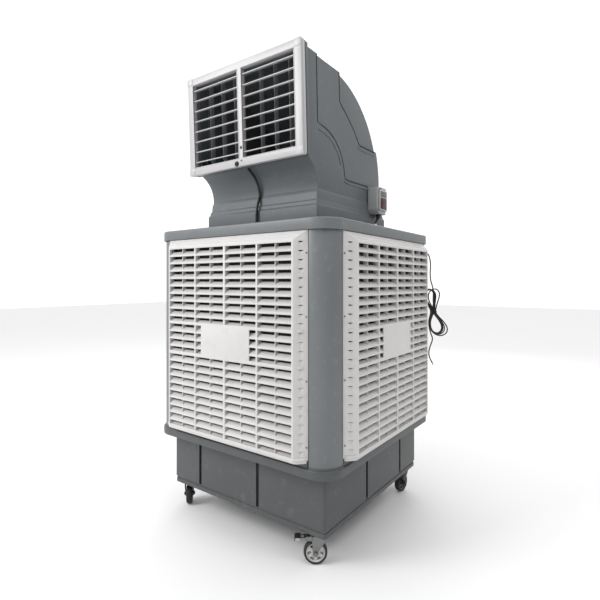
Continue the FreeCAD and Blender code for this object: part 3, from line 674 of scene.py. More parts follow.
def makeBasePan():
    half, corner, low, high = pan["half"], pan["corner"], pan["low"], pan["high"]
    shell = addSlab("basePanShell", half, corner, low, high)
    bevelEdges(shell, lambda at, along: at.z > high - 0.1, 7, 4)
    bevelEdges(shell, lambda at, along: at.z < low + 0.1, 2, 2)
    combine(shell, addSlab("panHollow", half - pan["wall"], corner - pan["wall"], low + pan["floor"],
                           high - pan["floor"]))
    combine(shell, addSlab("panOpening", pan["opening"], 30, low - 5, low + 45))
    pieces = [shell]
    for quarter in range(4):
        sill = softBox("sill", (-pan["sillHalf"], -pan["sillFace"], high - 4),
                       (pan["sillHalf"], -pan["sillFace"] + pan["sillDeep"], pan["sillTop"]), 3, 3)
        # raised lip round the foot of a column
        middle = (pan["ringMiddle"], -pan["ringMiddle"])
        ring = arcPoints(middle, pan["ringRadius"], -90, 0, 14)
        ring += arcPoints(middle, pan["ringInner"], 0, -90, 14)
        lip = addOutline("footLip", [(x, y, high - 5) for x, y in ring], (0, 0, pan["ringHigh"] - high + 5))
        softenEdges(lip, 2.4, 3)
        for piece in (sill, lip):
            piece.data.transform(quarterTurn(quarter))
            pieces.append(piece)
    finishPiece(joinAll("basePan", pieces), "greyPanMoulding", stands=("base_pan",))


makeBasePan()


# corner columns, the front right one and its copies

column = {"middle": 432, "outer": 100, "thick": 4, "low": 434, "high": 1392, "leg": 34}


def makeColumns():
    middle, outer, thick, leg = column["middle"], column["outer"], column["thick"], column["leg"]
    face = middle + outer
    centre = (middle, -middle)
    path = [(middle, -face + leg)] + arcPoints(centre, outer, -90, 0, 24) + [(face - leg, -middle)]
    path += [(face - leg, -middle - thick)] + arcPoints(centre, outer - thick, -3, -87, 24)
    path += [(middle + thick, -face + leg)]
    low, high = column["low"], column["high"]
    post = addOutline("column", [(x, y, low) for x, y in path], (0, 0, high - low))
    softenEdges(post, 1.2, 2, 40)
    for quarter, side in enumerate(("front_right", "rear_right", "rear_left", "front_left")):
        twin = copyOf(post, "cornerColumn_" + side, quarterTurn(quarter))
        finishPiece(twin, "greyMoulding", stands=("column_" + side,), smooth=40)
    bpy.data.objects.remove(post)


makeColumns()


# roof cover

roof = {"half": 540, "corner": 100, "low": 1392, "high": 1440, "wall": 6, "fillet": 7,
        "fanHole": 306, "fanY": -13}


def makeRoof():
    half, corner, low, high, wall = (roof[key] for key in ("half", "corner", "low", "high", "wall"))
    shell = addSlab("roofCover", half, corner, low, high)
    bevelEdges(shell, lambda at, along: at.z > high - 0.1, roof["fillet"], 4)
    bevelEdges(shell, lambda at, along: at.z < low + 0.1, 1.5, 2)
    combine(shell, addSlab("roofHollow", half - wall, corner - wall, low - 8, high - wall))
    start, end = (0, roof["fanY"], high - 20), (0, roof["fanY"], high + 10)
    combine(shell, addRod("fanHole", start, end, roof["fanHole"], 64))
    finishPiece(shell, "greyMoulding", stands=("top_cover",), smooth=40)


makeRoof()
print("tank, pan, columns and roof made")


# louvred intake panels: the front one, then three turned copies

panel = {
    "face": 577, "faceHalf": 388, "back": 532, "backHalf": 430.5, "low": 467, "faceTop": 1350, "top": 1392,
    "skin": 3, "border": 8, "rimHigh": 479, "footLow": 456, "windowTop": 1341, "pitch": 36.5,
    "ledge": [(-429, -534), (-424, -548), (-400, -571), (-388, -576), (388, -576), (400, -571), (424, -548),
              (429, -534), (388, -540), (-388, -540)],
    "ridges": ((1361, 0.26), (1376, 0.62), (1386, 0.86)),    # height, and how far down the top bevel
    "blocks": ((458.5, 10), (823.5, 4), (971.5, 10)),        # lowest blade of each block, and how many
    "scoopBlocks": ((495, 10), (860, 4), (1008, 10)),
    "bars": ((0, 12), (-194, 9), (194, 9), (-384, 8), (384, 8)), "gussets": (-291, -97, 97, 291),
    "dividers": (837, 983), "plateHalf": 152, "screwX": 426, "screws": (520, 784, 1042, 1298),
}
# blade section as (depth behind the face, height over the row)
bladeSection = [(1, 4.2), (0.8, 11), (2, 12.4), (20, 28.5), (22, 27.8), (22, 25.4), (5.5, 5.4), (4, 4.2)]
bevelTurn = math.atan2(panel["face"] - panel["back"], panel["backHalf"] - panel["faceHalf"])


def bevelPoint(x, z, lift=0.0):
    # a place on the right side bevel of the front panel, raised off it by lift
    depth = panel["back"] + (panel["backHalf"] - x) * math.tan(bevelTurn)
    return Vector((x + lift * math.sin(bevelTurn), -depth - lift * math.cos(bevelTurn), z))


def makePanelTray():
    face, faceHalf, low, backHalf = (panel[key] for key in ("face", "faceHalf", "low", "backHalf"))
    tray = addBox("panelTray", (-backHalf, -face, low), (backHalf, -panel["back"], panel["top"]))
    openEdit(tray)
    pickFaces(tray, lambda at, normal: normal.y < -0.9)
    rise = (panel["faceTop"] - low) / (panel["top"] - low)
    bpy.ops.transform.resize(value=(faceHalf / backHalf, 1, rise), center_override=Vector((0, -face, low)) * mm)
    pickFaces(tray, lambda at, normal: normal.y < -0.9)
    bpy.ops.mesh.inset(thickness=panel["border"] * mm)
    bpy.ops.mesh.delete(type="FACE")
    pickFaces(tray, lambda at, normal: normal.y > 0.9)
    bpy.ops.mesh.delete(type="FACE")
    bpy.ops.mesh.select_all(action="SELECT")
    bpy.ops.mesh.normals_make_consistent(inside=False)
    closeEdit()
    applyModifier(tray, "SOLIDIFY", thickness=panel["skin"] * mm, offset=-1, use_even_offset=True)
    # shallow hooded scoops in both side bevels, one to a row
    cones = []
    for first, count in panel["scoopBlocks"]:
        for row in range(count):
            top = bevelPoint(410, first + panel["pitch"] * row, 0.4)
            for side in (-1, 1):
                cone = addRod("scoop", (0, 0, -9), (0, 0, 9), 1.5, 20, endRadius=14)
                cone.data.transform(onBevel(side, top) @ Matrix.Diagonal((1, 0.34, 1, 1)))
                cones.append(cone)
    combine(tray, joinAll("scoopCutter", cones))
    return tray


def onBevel(side, place):
    # moves a shape to a place on one side bevel and turns it with the bevel
    return movedBy((side * place.x, place.y, place.z)) @ Matrix.Rotation(side * bevelTurn, 4, "Z")


def makePanel():
    face, faceHalf, low, pitch = (panel[key] for key in ("face", "faceHalf", "low", "pitch"))
    pieces = [softenEdges(makePanelTray(), 0.8, 2, 38)]
    # lower rim: a rounded ledge that wraps the bevels, over a second, smaller one
    rim = addOutline("panelRim", [(x, y, low + 0.5) for x, y in panel["ledge"]],
                     (0, 0, panel["rimHigh"] - low - 0.5))
    foot = addOutline("panelFoot", [(x * 0.995, max(y + 3, -574) if y < -545 else y, panel["footLow"])
                                    for x, y in panel["ledge"]], (0, 0, low + 1.5 - panel["footLow"]))
    pieces += [softenEdges(rim, 3, 3, 25), softenEdges(foot, 2.4, 3, 25)]

    def addBar(name, low, high, width, segments=2):
        # x, depth behind the face, height
        corners = [(x, depth - face, height) for x, depth, height in (low, high)]
        pieces.append(softBox(name, *corners, width, segments))

    addBar("panelHead", (6 - faceHalf, 0.2, panel["windowTop"]), (faceHalf - 6, 10, panel["faceTop"] - 2), 1)
    for level, reach in panel["ridges"]:
        half = faceHalf + (panel["backHalf"] - faceHalf) * reach - 6
        depth = (face - panel["back"]) * reach - 0.6
        addBar("topRidge", (-half, depth - 1.0, level - 1.2), (half, depth + 3, level + 1.2), 0.8)
    for middle, width in panel["bars"]:
        addBar("bar", (middle - width / 2, 0.3, low + 3), (middle + width / 2, 30, panel["faceTop"] - 4), 1.1)
    for middle in panel["gussets"]:
        for first, count in panel["blocks"]:
            pieces.append(addBox("gusset", (middle - 1.6, -face + 6.5, first + 20),
                                 (middle + 1.6, -face + 28, first + pitch * count + 4)))
    for height in panel["dividers"]:
        addBar("divider", (3 - faceHalf, 0.2, height - 6.5), (faceHalf - 3, 30, height + 6.5), 1.4)
        nose = addTurned("nose", [(0, -3), (5.5, -1.5), (7, 2), (5.5, 5), (0, 6)], (0, 0, 0), (0, 0, 1), 20)
        place = bevelPoint(409, height, 0)
        pieces += [copyOf(nose, "nose", onBevel(side, place) @ Matrix.Diagonal((2.0, 0.5, 1.5, 1)))
                   for side in (-1, 1)]
        bpy.data.objects.remove(nose)
    blade = addOutline("blade", [(-384, -face + depth, height) for depth, height in bladeSection], (768, 0, 0))
    softenEdges(blade, 0.5, 2, 35)
    for first, count in panel["blocks"]:
        for row in range(count):
            pieces.append(copyOf(blade, "blade", movedBy((0, 0, first + pitch * row))))
    bpy.data.objects.remove(blade)
    below, above = panel["dividers"]
    addBar("blankPlate", (-panel["plateHalf"], 0, below + 2), (panel["plateHalf"], 6, above - 2), 1.2)
    prototype = joinAll("intakePanel", pieces)
    for quarter, side in enumerate(("front", "right", "rear", "left")):
        twin = copyOf(prototype, "intakePanel_" + side, quarterTurn(quarter))
        finishPiece(twin, "whiteLouvrePlastic", stands=("intake_panel_" + side,))
    bpy.data.objects.remove(prototype)


def makePanelScrews():
    # cross-head screws: a domed head with two crossed slots
    head = addTurned("screwHead", [(0, -1), (3.6, -1), (3.6, 1.2), (2.9, 2.2), (1.6, 2.7), (0, 2.8)],
                     (0, 0, 0), (0, 0, 1), 18)
    for wide, tall in ((0.55, 2.3), (2.3, 0.55)):
        cutBox(head, (-wide, -tall, 1.2), (wide, tall, 4))
    upright = Matrix.Rotation(math.radians(90), 4, "X")
    places = [onBevel(side, bevelPoint(panel["screwX"], height)) @ upright
              for height in panel["screws"] for side in (-1, 1)]
    screws = [copyOf(head, "screw", quarterTurn(quarter) @ place) for quarter in range(4) for place in places]
    bpy.data.objects.remove(head)
    finishPiece(joinAll("panelScrews", screws), "screwSteel", stands=("panel_screws",))


makePanel()
makePanelScrews()
print("panels made")


# fluted cooling pads behind the panels

pad = {"front": 500, "back": 424, "half": 418, "low": 404, "high": 1371, "flute": 15, "deep": 9}


def makePads():
    half, front, low = pad["half"], pad["front"], pad["low"]
    count = int(2 * half / pad["flute"]) * 2
    outline = [(-half + 2 * half * step / count, -front + (pad["deep"] if step % 2 else 0), low)
               for step in range(count + 1)]
    outline += [(half, -pad["back"], low), (-half, -pad["back"], low)]
    block = addOutline("fluted", outline, (0, 0, pad["high"] - low))
    pads = [copyOf(block, "fluted", quarterTurn(quarter)) for quarter in range(4)]
    bpy.data.objects.remove(block)
    finishPiece(joinAll("coolingPads", pads), "paperPad", stands=("cooling_pads",), smooth=0)


makePads()
print("pads made")


# elbow duct

elbow = {
    "half": 338, "step": 8, "wall": 9, "shrink": 4, "grooveNear": 2.2, "grooveFar": 11, "grooveDeep": 7,
    "neckFront": -324, "neckBack": 298, "throatTop": 1602, "bendStart": 1718, "foot": 1440,
    "mouthLow": (-418.5, 1734.8), "mouthHigh": (-436.9, 2205.5), "crown": (-124, 2199),
    "underVia": (-357, 1694), "outerVia": (153, 2064),
    # the two moulded lines on each side, as (depth, height)
    "nearLine": [(-330, 2230), (-330, 2200), (-321, 1899), (-261, 1893)]
    + arcPoints((-295, 1685), 210, 78, 5, 14) + [(-85, 1694), (-58, 1688), (149, 1692), (330, 1694)],
    "farLine": [(-125, 2240), (-125, 2195), (-118, 2055)] + arcPoints((-434, 1474), 660, 59.5, 41, 8)
    + [(72, 1897), (87, 1894), (239, 1896), (330, 1897)],
    # rings of the flared skirt: height, half width, front, back
    "collar": ((1440, 353, -349, 321), (1524, 353, -349, 321), (1532, 348.5, -342, 314),
               (1547, 346, -340, 312), (1553, 343.5, -334, 308), (1585, 342, -331, 305),
               (1602, 338.5, -324.5, 298.5)),
    "ribs": (-292, -238, -184), "lean": 2.24,
}


def elbowLoop():
    loop = arcVia(elbow["mouthLow"], elbow["underVia"], (elbow["neckFront"], elbow["throatTop"]), 16)
    loop += [(elbow["neckFront"], elbow["foot"]), (elbow["neckBack"], elbow["foot"])]
    loop += arcVia((elbow["neckBack"], elbow["bendStart"]), elbow["outerVia"], elbow["crown"], 28)
    return loop + [elbow["mouthHigh"]]


def elbowRegion(name, line, half, shrink):
    # the part of the duct's side on the near side of a moulded line
    bounds = list(line) + [(330, 1380), (-520, 1380), (-520, line[0][1])]
    region = sidePrism(name, bounds, half + 5)
    body = sidePrism(name + "Body", offsetLoop(elbowLoop(), shrink), half)
    return combine(body, region, "INTERSECT")


def outletPlace(u=0.0, v=0.0, w=0.0):
    # the outlet's own across, depth and height directions, leaning back with the duct's mouth
    return movedBy((0, -465, 1722)) @ Matrix.Rotation(math.radians(elbow["lean"]), 4, "X") @ movedBy((u, v, w))


def outletShape(piece):
    piece.data.transform(outletPlace())
    return piece


def makeElbow():
    half, step, shrink, wall = (elbow[key] for key in ("half", "step", "shrink", "wall"))
    duct = sidePrism("elbowDuct", offsetLoop(elbowLoop(), shrink), half - 2 * step)
    softenEdges(duct, 16, 4, 60)
    middle = elbowRegion("elbowMiddle", elbow["farLine"], half - step, shrink / 2)
    near = elbowRegion("elbowNear", elbow["nearLine"], half, 0)
    softenEdges(middle, 5, 3, 50)
    softenEdges(near, 5, 3, 50)
    combine(duct, middle, "UNION")
    combine(duct, near, "UNION")
    # a narrow groove just inside each moulded line
    for line, reach in ((elbow["nearLine"], half), (elbow["farLine"], half - step)):
        edge = line[1:-1]
        strip = offsetLine(edge, -elbow["grooveFar"]) + offsetLine(edge, -elbow["grooveNear"])[::-1]
        for side in (-1, 1):
            loop = [(side * (reach - elbow["grooveDeep"]), y, z) for y, z in strip]
            combine(duct, addOutline("groove", loop, (side * 30, 0, 0)))
    # waved ribs over the top, between the two lines
    for index, place in enumerate(elbow["ribs"]):
        rib = softBox("topRib", (-322, place - 15, 2180), (322, place + 15, 2209 - 2 * index), 8, 4)
        combine(duct, rib, "UNION")
    combine(duct, sidePrism("ductHollow", offsetLoop(elbowLoop(), wall + shrink), half - 2 * step - wall))
    cutBox(duct, (-305, elbow["neckFront"] + 12, 1430), (305, elbow["neckBack"] - 12, 1480))
    mouth = addBox("ductMouth", (-322, -10, 28), (322, 60, 460))
    mouth.data.transform(outletPlace(0, 40, 0))
    combine(duct, mouth)
    return softenEdges(duct, 1.2, 2, 45)


def makeCollar():
    # flared skirt round the neck, drawn up ring by ring
    rings = elbow["collar"]
    low, half, front, back = rings[0]
    skirt = addBox("elbowSkirt", (-half, front, low + 0.5), (half, back, rings[1][0]))
    openEdit(skirt)
    for before, (high, half, front, back) in zip(rings[1:], rings[2:]):
        pickFaces(skirt, lambda at, normal: normal.z > 0.9 and at.z > before[0] - 1)
        extrudeBy((0, 0, high - before[0]))
        grow = (half / before[1], (back - front) / (before[3] - before[2]), 1)
        centre = Vector((0, (before[3] + before[2]) / 2, high)) * mm
        bpy.ops.transform.resize(value=grow, center_override=centre)
        bpy.ops.transform.translate(value=Vector((0, (back + front - before[3] - before[2]) / 2, 0)) * mm)
    pickEdges(skirt, lambda at, along: abs(along.z) > 0.6)
    bevelPicked(7, 3)
    closeEdit()
    inside = addBox("skirtHole", (-325, -311, 1430), (325, 286, 1620))
    combine(skirt, inside)
    return softenEdges(skirt, 1.6, 2, 14)


def makeElbowDetails():
    flange = addBox("mouthFlange", (-354, 38, 3), (354, 57, 483))
    cutBox(flange, (-335, 30, 22), (335, 70, 466))
    pieces = [softenEdges(outletShape(flange), 2, 3)]
    # low beads beside the lower ends of the moulded lines
    near, far = elbow["half"], elbow["half"] - elbow["step"]
    for line, reach in (([(-96, 1672), (-60, 1666), (140, 1668)], near),
                        ([(50, 1876), (86, 1868), (232, 1872)], far),
                        ([(-322, 1868), (-268, 1862)] + arcPoints((-295, 1685), 178, 78, 20, 10), near)):
        strip = offsetLine(line, 2.4) + offsetLine(line, -2.4)[::-1]
        for side in (-1, 1):
            bead = addOutline("bead", [(side * (reach - 3), y, z) for y, z in strip], (side * 6, 0, 0))
            pieces.append(softenEdges(bead, 1.8, 3, 40))
    return pieces


def makeElbowScrews():
    head = addTurned("ductScrew", [(0, -1), (4, -1), (4, 0.8), (3, 2.0), (0, 2.4)], (0, 0, 0), (1, 0, 0), 16)
    places = [(353, y, 1466) for y in (-300, -120, 60, 280)] + [(338, -240, 1712), (338, -205, 1728)]
    screws = []
    for x, y, z in places:
        for side, turn in ((-1, math.pi), (1, 0)):
            screws.append(copyOf(head, "ductScrew", movedBy((side * x, y, z)) @ Matrix.Rotation(turn, 4, "Z")))
    bpy.data.objects.remove(head)
    finishPiece(joinAll("ductScrews", screws), "screwSteel")


duct = joinAll("elbowDuct", [makeElbow(), makeCollar()] + makeElbowDetails())
# the duct gets the darker grey: painted shade on one moulding
finishPiece(duct, "greyDuctMouldingPaintedShade", stands=("elbow_duct",), smooth=28)
makeElbowScrews()
print("elbow duct made")


# outlet frame, louvre rows, swing vanes and link

outlet = {
    "half": 358, "high": 485, "deep": 26, "near": 13.5, "far": 319, "windowLow": 38, "windowHigh": 450,
    "collarEnd": 92, "rows": 8, "firstRow": 69, "rowStep": 51.1, "rowDepth": 22, "chord": 36, "tilt": 15,
    "spindle": 3, "vanes": (-253, -168, -83, 83, 168, 253), "vaneDepth": 66, "vaneChord": 30,
    "linkLow": 47, "linkHigh": 54, "crank": 82,
}


def makeOutletFrame():
    half, high, deep, low, top = (outlet[key] for key in ("half", "high", "deep", "windowLow", "windowHigh"))
    near, far, end = outlet["near"], outlet["far"], outlet["collarEnd"]
    front = addBox("outletFront", (-half, 0, 0), (half, deep, high))
    for side in (-1, 1):
        cutBox(front, (side * near, -5, low), (side * far, deep + 5, top))
    pieces = [softenEdges(front, 2.2, 3)]
    # rear collar inside the duct's mouth, and the gasket round it
    collar = addBox("outletCollar", (-334, deep - 1, 29), (334, end, 459))
    cutBox(collar, (-326, 0, 37), (326, 120, 451))
    finishPiece(outletShape(softenEdges(collar, 1.2, 2)), "collarPlastic")
    gasket = addBox("outletGasket", (-half + 1.5, deep - 0.5, 2), (half - 1.5, deep + 12.5, high - 2))
    cutBox(gasket, (-330, 0, 33), (330, 120, 455))
    finishPiece(outletShape(softenEdges(gasket, 2, 2)), "blackPlastic")
    # a lip round each window, lapped corner strips and a step along both sides
    for side in (-1, 1):
        lip = addBox("windowLip", (side * (near - 3), -1.6, low - 3), (side * (far + 3), 6, top + 3))
        cutBox(lip, (side * near, -5, low), (side * far, 12, top))
        pieces.append(softenEdges(lip, 0.7, 2))
        for bottom, over in ((-0.8, 34), (high - 33, high + 0.8)):
            pieces.append(softBox("cornerLap", (side * (half - 36), -1.5, bottom),
                                  (side * (half + 0.8), 4, over), 0.6))
        pieces.append(softBox("sideRail", (side * (half - 2), deep - 17, 6),
                              (side * (half + 1.8), deep, high - 6), 0.9))
    whole = outletShape(joinAll("outletFrame", pieces))
    finishPiece(whole, "whiteOutletPlastic", stands=("outlet_frame",))

    knob = addTurned("knob", [(0, -4), (12.6, -4), (13, 0), (12, 3), (10.4, 4), (10.4, 1.5), (4.6, 1.5),
                              (4.6, 7), (3, 8.5), (0, 8.8)], (-27, 0, 14), (0, -1, 0), 26)
    dot = addTurned("dot", [(0, -3), (7, -3), (7, 1.2), (5.8, 2.4), (0, 2.7)], (2, 0, 86), (0, -1, 0), 24)
    black = outletShape(joinAll("outletKnob", [knob, dot]))
    finishPiece(black, "blackPlastic")
    head = addTurned("frameScrew", [(0, -2), (5.4, -2), (5.4, 0.8), (4.4, 2.2), (2, 3), (0, 3.1)],
                     (3, 0, 27), (0, -1, 0), 20)
    cutBox(head, (2.4, -5, 23.5), (3.6, -2.2, 30.5))
    cutBox(head, (-0.5, -5, 26.4), (6.5, -2.2, 27.6))
    finishPiece(outletShape(head), "screwSteel")


def makeLouvreRows():
    # one row of two blades on a through spindle: a rounded nose, then a thin tail
    half, near, far = outlet["chord"] / 2, outlet["near"], outlet["far"]
    under = [(-half + 0.6, -1.9), (-half + 2.4, -2.7), (-half + 6, -2.3), (half - 3, -1.0)]
    section = [(-half, 0)] + under + [(half, 0)] + [(y, -z) for y, z in reversed(under)]
    pieces = []
    for start in (-far + 1.6, near + 1.6):
        blade = addOutline("blade", [(start, y, z) for y, z in section], (far - near - 3.2, 0, 0))
        pieces.append(softenEdges(blade, 0.4, 1, 60))
    pieces.append(addRod("spindle", (-far - 6, 0, 0), (far + 6, 0, 0), outlet["spindle"], 16))
    for end, inward in ((-far, 1.6), (-near, -1.6), (near, 1.6), (far, -1.6)):
        start, stop = sorted((end + inward * 0.3, end + inward * 1.5))
        pieces.append(addRod("boss", (start, 0, 0), (stop, 0, 0), 5, 18))
    row = joinAll("louvreRow", pieces)
    row.data.transform(Matrix.Rotation(math.radians(outlet["tilt"]), 4, "X"))
    for index in range(outlet["rows"]):
        name = "louvre_row_%d" % (index + 1)
        place = outletPlace(0, outlet["rowDepth"], outlet["firstRow"] + outlet["rowStep"] * index)
        twin = copyOf(row, "louvreRow_%d" % (index + 1), place)
        finishPiece(twin, "whiteOutletPlastic", name, (name,))
    bpy.data.objects.remove(row)


def makeVanes():
    depth, crank, linkLow, linkHigh = (outlet[key] for key in ("vaneDepth", "crank", "linkLow", "linkHigh"))
    low, high = linkHigh + 10, outlet["windowHigh"] - 4
    nose, tail = depth - outlet["vaneChord"] / 2, depth + outlet["vaneChord"] / 2
    section = [(0, nose), (-1.5, nose + 1), (-2.1, nose + 6), (-1.2, tail - 6), (-0.7, tail - 0.5),
               (0.7, tail - 0.5), (1.2, tail - 6), (2.1, nose + 6), (1.5, nose + 1)]
    blade = addOutline("vane", [(u, v, low) for u, v in section], (0, 0, high - low))
    pieces = [softenEdges(blade, 0.4, 2, 50),
              softBox("vaneArm", (-5, depth - 5, linkHigh + 3), (5, crank + 4, low + 1), 1.2)]
    for place, bottom, top, radius, sides in (
            (depth, outlet["windowLow"] + 1, linkHigh + 4, 4, 18),
            (depth, outlet["windowLow"] - 4, outlet["windowLow"] + 2, 3, 16),
            (depth, high - 2, outlet["windowHigh"] + 4, 3, 16), (crank, linkLow, linkHigh + 4, 3, 16)):
        pieces.append(addRod("vanePin", (0, place, bottom), (0, place, top), radius, sides))
    vane = joinAll("vane", pieces)
    for index, place in enumerate(outlet["vanes"]):
        name = "vane_%d" % (index + 1)
        twin = copyOf(vane, "swingVane_%d" % (index + 1), outletPlace(place))
        finishPiece(twin, "vanePlastic", name, (name,))
    bpy.data.objects.remove(vane)

    last = outlet["vanes"][-1]
    bar = addBox("vaneLink", (-last - 9, crank - 6, linkLow), (last + 9, crank + 6, linkHigh))
    for place in outlet["vanes"]:
        combine(bar, addRod("linkHole", (place, crank, linkLow - 2), (place, crank, linkHigh + 2), 3.2, 20))
        if place != last:
            start, stop = (place + 14, place + 70) if place != -83 else (-60, 60)
            cutBox(bar, (start, crank - 3.5, linkLow - 1), (stop, crank + 3.5, linkLow + 3))
    softenEdges(bar, 0.7, 2, 40)
    finishPiece(outletShape(bar), "vanePlastic", "link", ("vane_link",))


makeOutletFrame()
makeLouvreRows()
makeVanes()
print("outlet made")


# casters: rails and plates, forks, wheels and brake pedals

caster = {
    "swivel": 420, "trail": 25, "radius": 50, "treadHalf": 15, "hubHalf": 18, "axle": 6, "legInner": 19,
    "leg": 3, "crownTop": 122, "pedalPivot": 58, "pedalHigh": 111,
    "turns": {"front_right": 216.3, "rear_right": -95, "rear_left": 40, "front_left": 135},
    "corners": {"front_right": (1, -1), "rear_right": (1, 1), "rear_left": (-1, 1), "front_left": (-1, -1)},
    "braked": ("front_right", "rear_left"),
}


def casterPlace(name):
    sideX, sideY = caster["corners"][name]
    turn = Matrix.Rotation(math.radians(caster["turns"][name]), 4, "Z")
    return movedBy((sideX * caster["swivel"], sideY * caster["swivel"], 0)) @ turn


def makeCasterFrame():
    pieces = []
    swivel = caster["swivel"]
    for x in (-swivel, swivel):
        rail = addBox("rail", (x - 20, -445, 134), (x + 20, 445, 159))
        cutBox(rail, (x - 17, -450, 137), (x + 17, 450, 156))
        pieces.append(softenEdges(rail, 2, 2))
    race = [(12.2, 122.4), (22, 122.4), (24, 124.5), (24, 128), (22, 130.3), (12.2, 130.3)]
    for sideX, sideY in caster["corners"].values():
        centre = Vector((sideX * swivel, sideY * swivel, 0))
        pieces.append(softBox("plate", centre + Vector((-30, -30, 130)), centre + Vector((30, 30, 134)), 1.2))
        pieces.append(addTurned("race", race, centre, (0, 0, 1), 36))
        for x in (-22, 22):
            for y in (-22, 22):
                bolt = addRod("bolt", centre + Vector((x, y, 126.5)), centre + Vector((x, y, 130.5)), 5.5, 6)
                pieces.append(softenEdges(bolt, 0.6, 1))
    finishPiece(joinAll("casterFrame", pieces), "blackSteel", stands=("caster_frame",))


def makeForkShape(braked):
    trail, inner, thick, crown = (caster[key] for key in ("trail", "legInner", "leg", "crownTop"))
    outer, pivot, pinHigh = inner + thick, caster["pedalPivot"], caster["pedalHigh"]
    legs = [(-20, crown), (-21, crown - 8), (-14, crown - 24), (trail - 13, 62)]
    legs += arcPoints((trail, 50), 13, 170, 370, 12) + [(37, 78), (41, crown - 16), (40, crown)]
    ears = [(36, crown), (36, crown - 19), (pivot + 2, crown - 19), (pivot + 8, crown - 13),
            (pivot + 8, crown - 4), (pivot + 3, crown)]
    dome = [(0, crown - 4), (22, crown - 4), (23, crown - 1), (20, crown + 0.3), (12, crown + 0.3),
            (12, crown + 7), (0, crown + 7)]

    def addPlates(outline):
        for side in (-1, 1):
            plate = addOutline("leg", [(x, side * inner, z) for x, z in outline], (0, side * thick, 0))
            pieces.append(softenEdges(plate, 0.8, 2))

    pieces = []
    addPlates(legs)
    pieces.append(softBox("crown", (-21, -outer, crown - 5), (41, outer, crown), 1.6, 3))
    pieces.append(addTurned("raceDome", dome, (0, 0, 0), (0, 0, 1), 32))
    pieces.append(addRod("axle", (trail, -outer - 2, 50), (trail, outer + 2, 50), caster["axle"], 24))
    for side in (-1, 1):
        start, seat, end = (side * (outer + more) for more in (0, 1.2, 6))
        pieces.append(addRod("washer", (trail, start, 50), (trail, seat, 50), 10.5, 28))
        pieces.append(softenEdges(addRod("nut", (trail, seat, 50), (trail, end, 50), 9.2, 6), 0.9, 2))
    if braked:
        addPlates(ears)
        pieces.append(addRod("pedalPin", (pivot, -outer - 1, pinHigh), (pivot, outer + 1, pinHigh), 3, 18))
    return joinAll("casterFork", pieces)


def makeWheelShape():
    # tyre and hub are two finishes of one piece; the hub has a ring of windows between spokes
    middle = Vector((caster["trail"], 0, caster["radius"]))
    half, hubHalf = caster["treadHalf"], caster["hubHalf"]

    def mirrored(rim):
        # a section given on one side, and the same on the other side
        return rim + [(radius, -across) for radius, across in reversed(rim)]

    tyre = addTurned("tyre", mirrored([(40, -half + 3), (41.4, -half + 0.8), (44, -half), (47, -half + 1.6),
                                       (49.2, -half + 5), (50, -half + 9)]), middle, (0, 1, 0), 56)
    hub = addTurned("hub", mirrored([(6.1, -hubHalf), (13, -hubHalf), (14, -hubHalf + 1), (14.6, -10), (34, -9),
                                     (37, -12.4), (39.6, -12.6), (40.6, -11)]), middle, (0, 1, 0), 56)
    cutters = []
    for index in range(6):
        wedge = []
        for radius, lean in ((18.5, 8), (32.5, 19), (34, 12), (34, -12), (32.5, -19), (18.5, -8)):
            turn = math.radians(60 * index + lean)
            wedge.append((middle.x + radius * math.cos(turn), -30, middle.z + radius * math.sin(turn)))
        cutters.append(addOutline("hubWindow", wedge, (0, 60, 0)))
    combine(hub, joinAll("hubWindows", cutters))
    softenEdges(hub, 0.7, 2, 40)
    paint("treadRubber", tyre)
    paint("hubPlastic", hub)
    return joinAll("casterWheel", [tyre, hub])


def makePedalShape():
    pivot, high, side = caster["pedalPivot"], caster["pedalHigh"], 15
    outline = [(pivot - 11, high - 1), (pivot + 18, high - 1), (100, high - 4), (100, high),
               (pivot + 19, high + 3.4), (pivot - 11, high + 3.4)]
    arm = addOutline("pedalArm", [(x, -side, z) for x, z in outline], (0, 2 * side, 0))
    cutBox(arm, (pivot + 16, -6, high - 9), (pivot + 30, 6, high + 9))
    softenEdges(arm, 1.2, 2)
    barrel = addTurned("barrel", [(3.06, -17), (6, -17), (6, 17), (3.06, 17)], (pivot, 0, high), (0, 1, 0), 24)
    # toe pad with a rubber strip wrapped over its top and front
    toe = softBox("pedalPad", (91, -16, high - 8), (111.6, 16, high + 3.4), 1.6)
    strip = [(88, high + 6), (109, high + 6), (112.6, high + 4.6), (114, high + 1), (114, high - 8),
             (111.4, high - 8), (111.2, high + 1), (108, high + 3), (88, high + 3)]
    rubber = softenEdges(addOutline("pedalToe", [(x, -19, z) for x, z in strip], (0, 38, 0)), 0.9, 2)
    paint("zincSteel", arm, barrel)
    paint("hubPlastic", toe)
    paint("blackPlastic", rubber)
    return joinAll("brakePedal", [arm, barrel, toe, rubber])


def makeCasters():
    makeCasterFrame()
    plain, braked = makeForkShape(False), makeForkShape(True)
    wheel, pedal = makeWheelShape(), makePedalShape()
    for name in caster["corners"]:
        place = casterPlace(name)
        zinc = name in caster["braked"]                     # the braked casters are the zinc ones
        fork = copyOf(braked if zinc else plain, "casterFork_" + name, place)
        finishPiece(fork, "zincSteel" if zinc else "blackSteel", "fork_" + name,
                    ("caster_fork_" + name,))
        twin = copyOf(wheel, "casterWheel_" + name, place)
        if not zinc:
            twin.data.materials[1] = materials["hubBlack"]
        finishPiece(twin, None, "wheel_" + name, ("caster_wheel_" + name,))
        if zinc:
            twin = copyOf(pedal, "brakePedal_" + name, place)
            finishPiece(twin, None, "pedal_" + name, ("brake_pedal_" + name,))
    for shape in (plain, braked, wheel, pedal):
        bpy.data.objects.remove(shape)


makeCasters()
print("casters made")


# control box, its cover and the breaker toggle

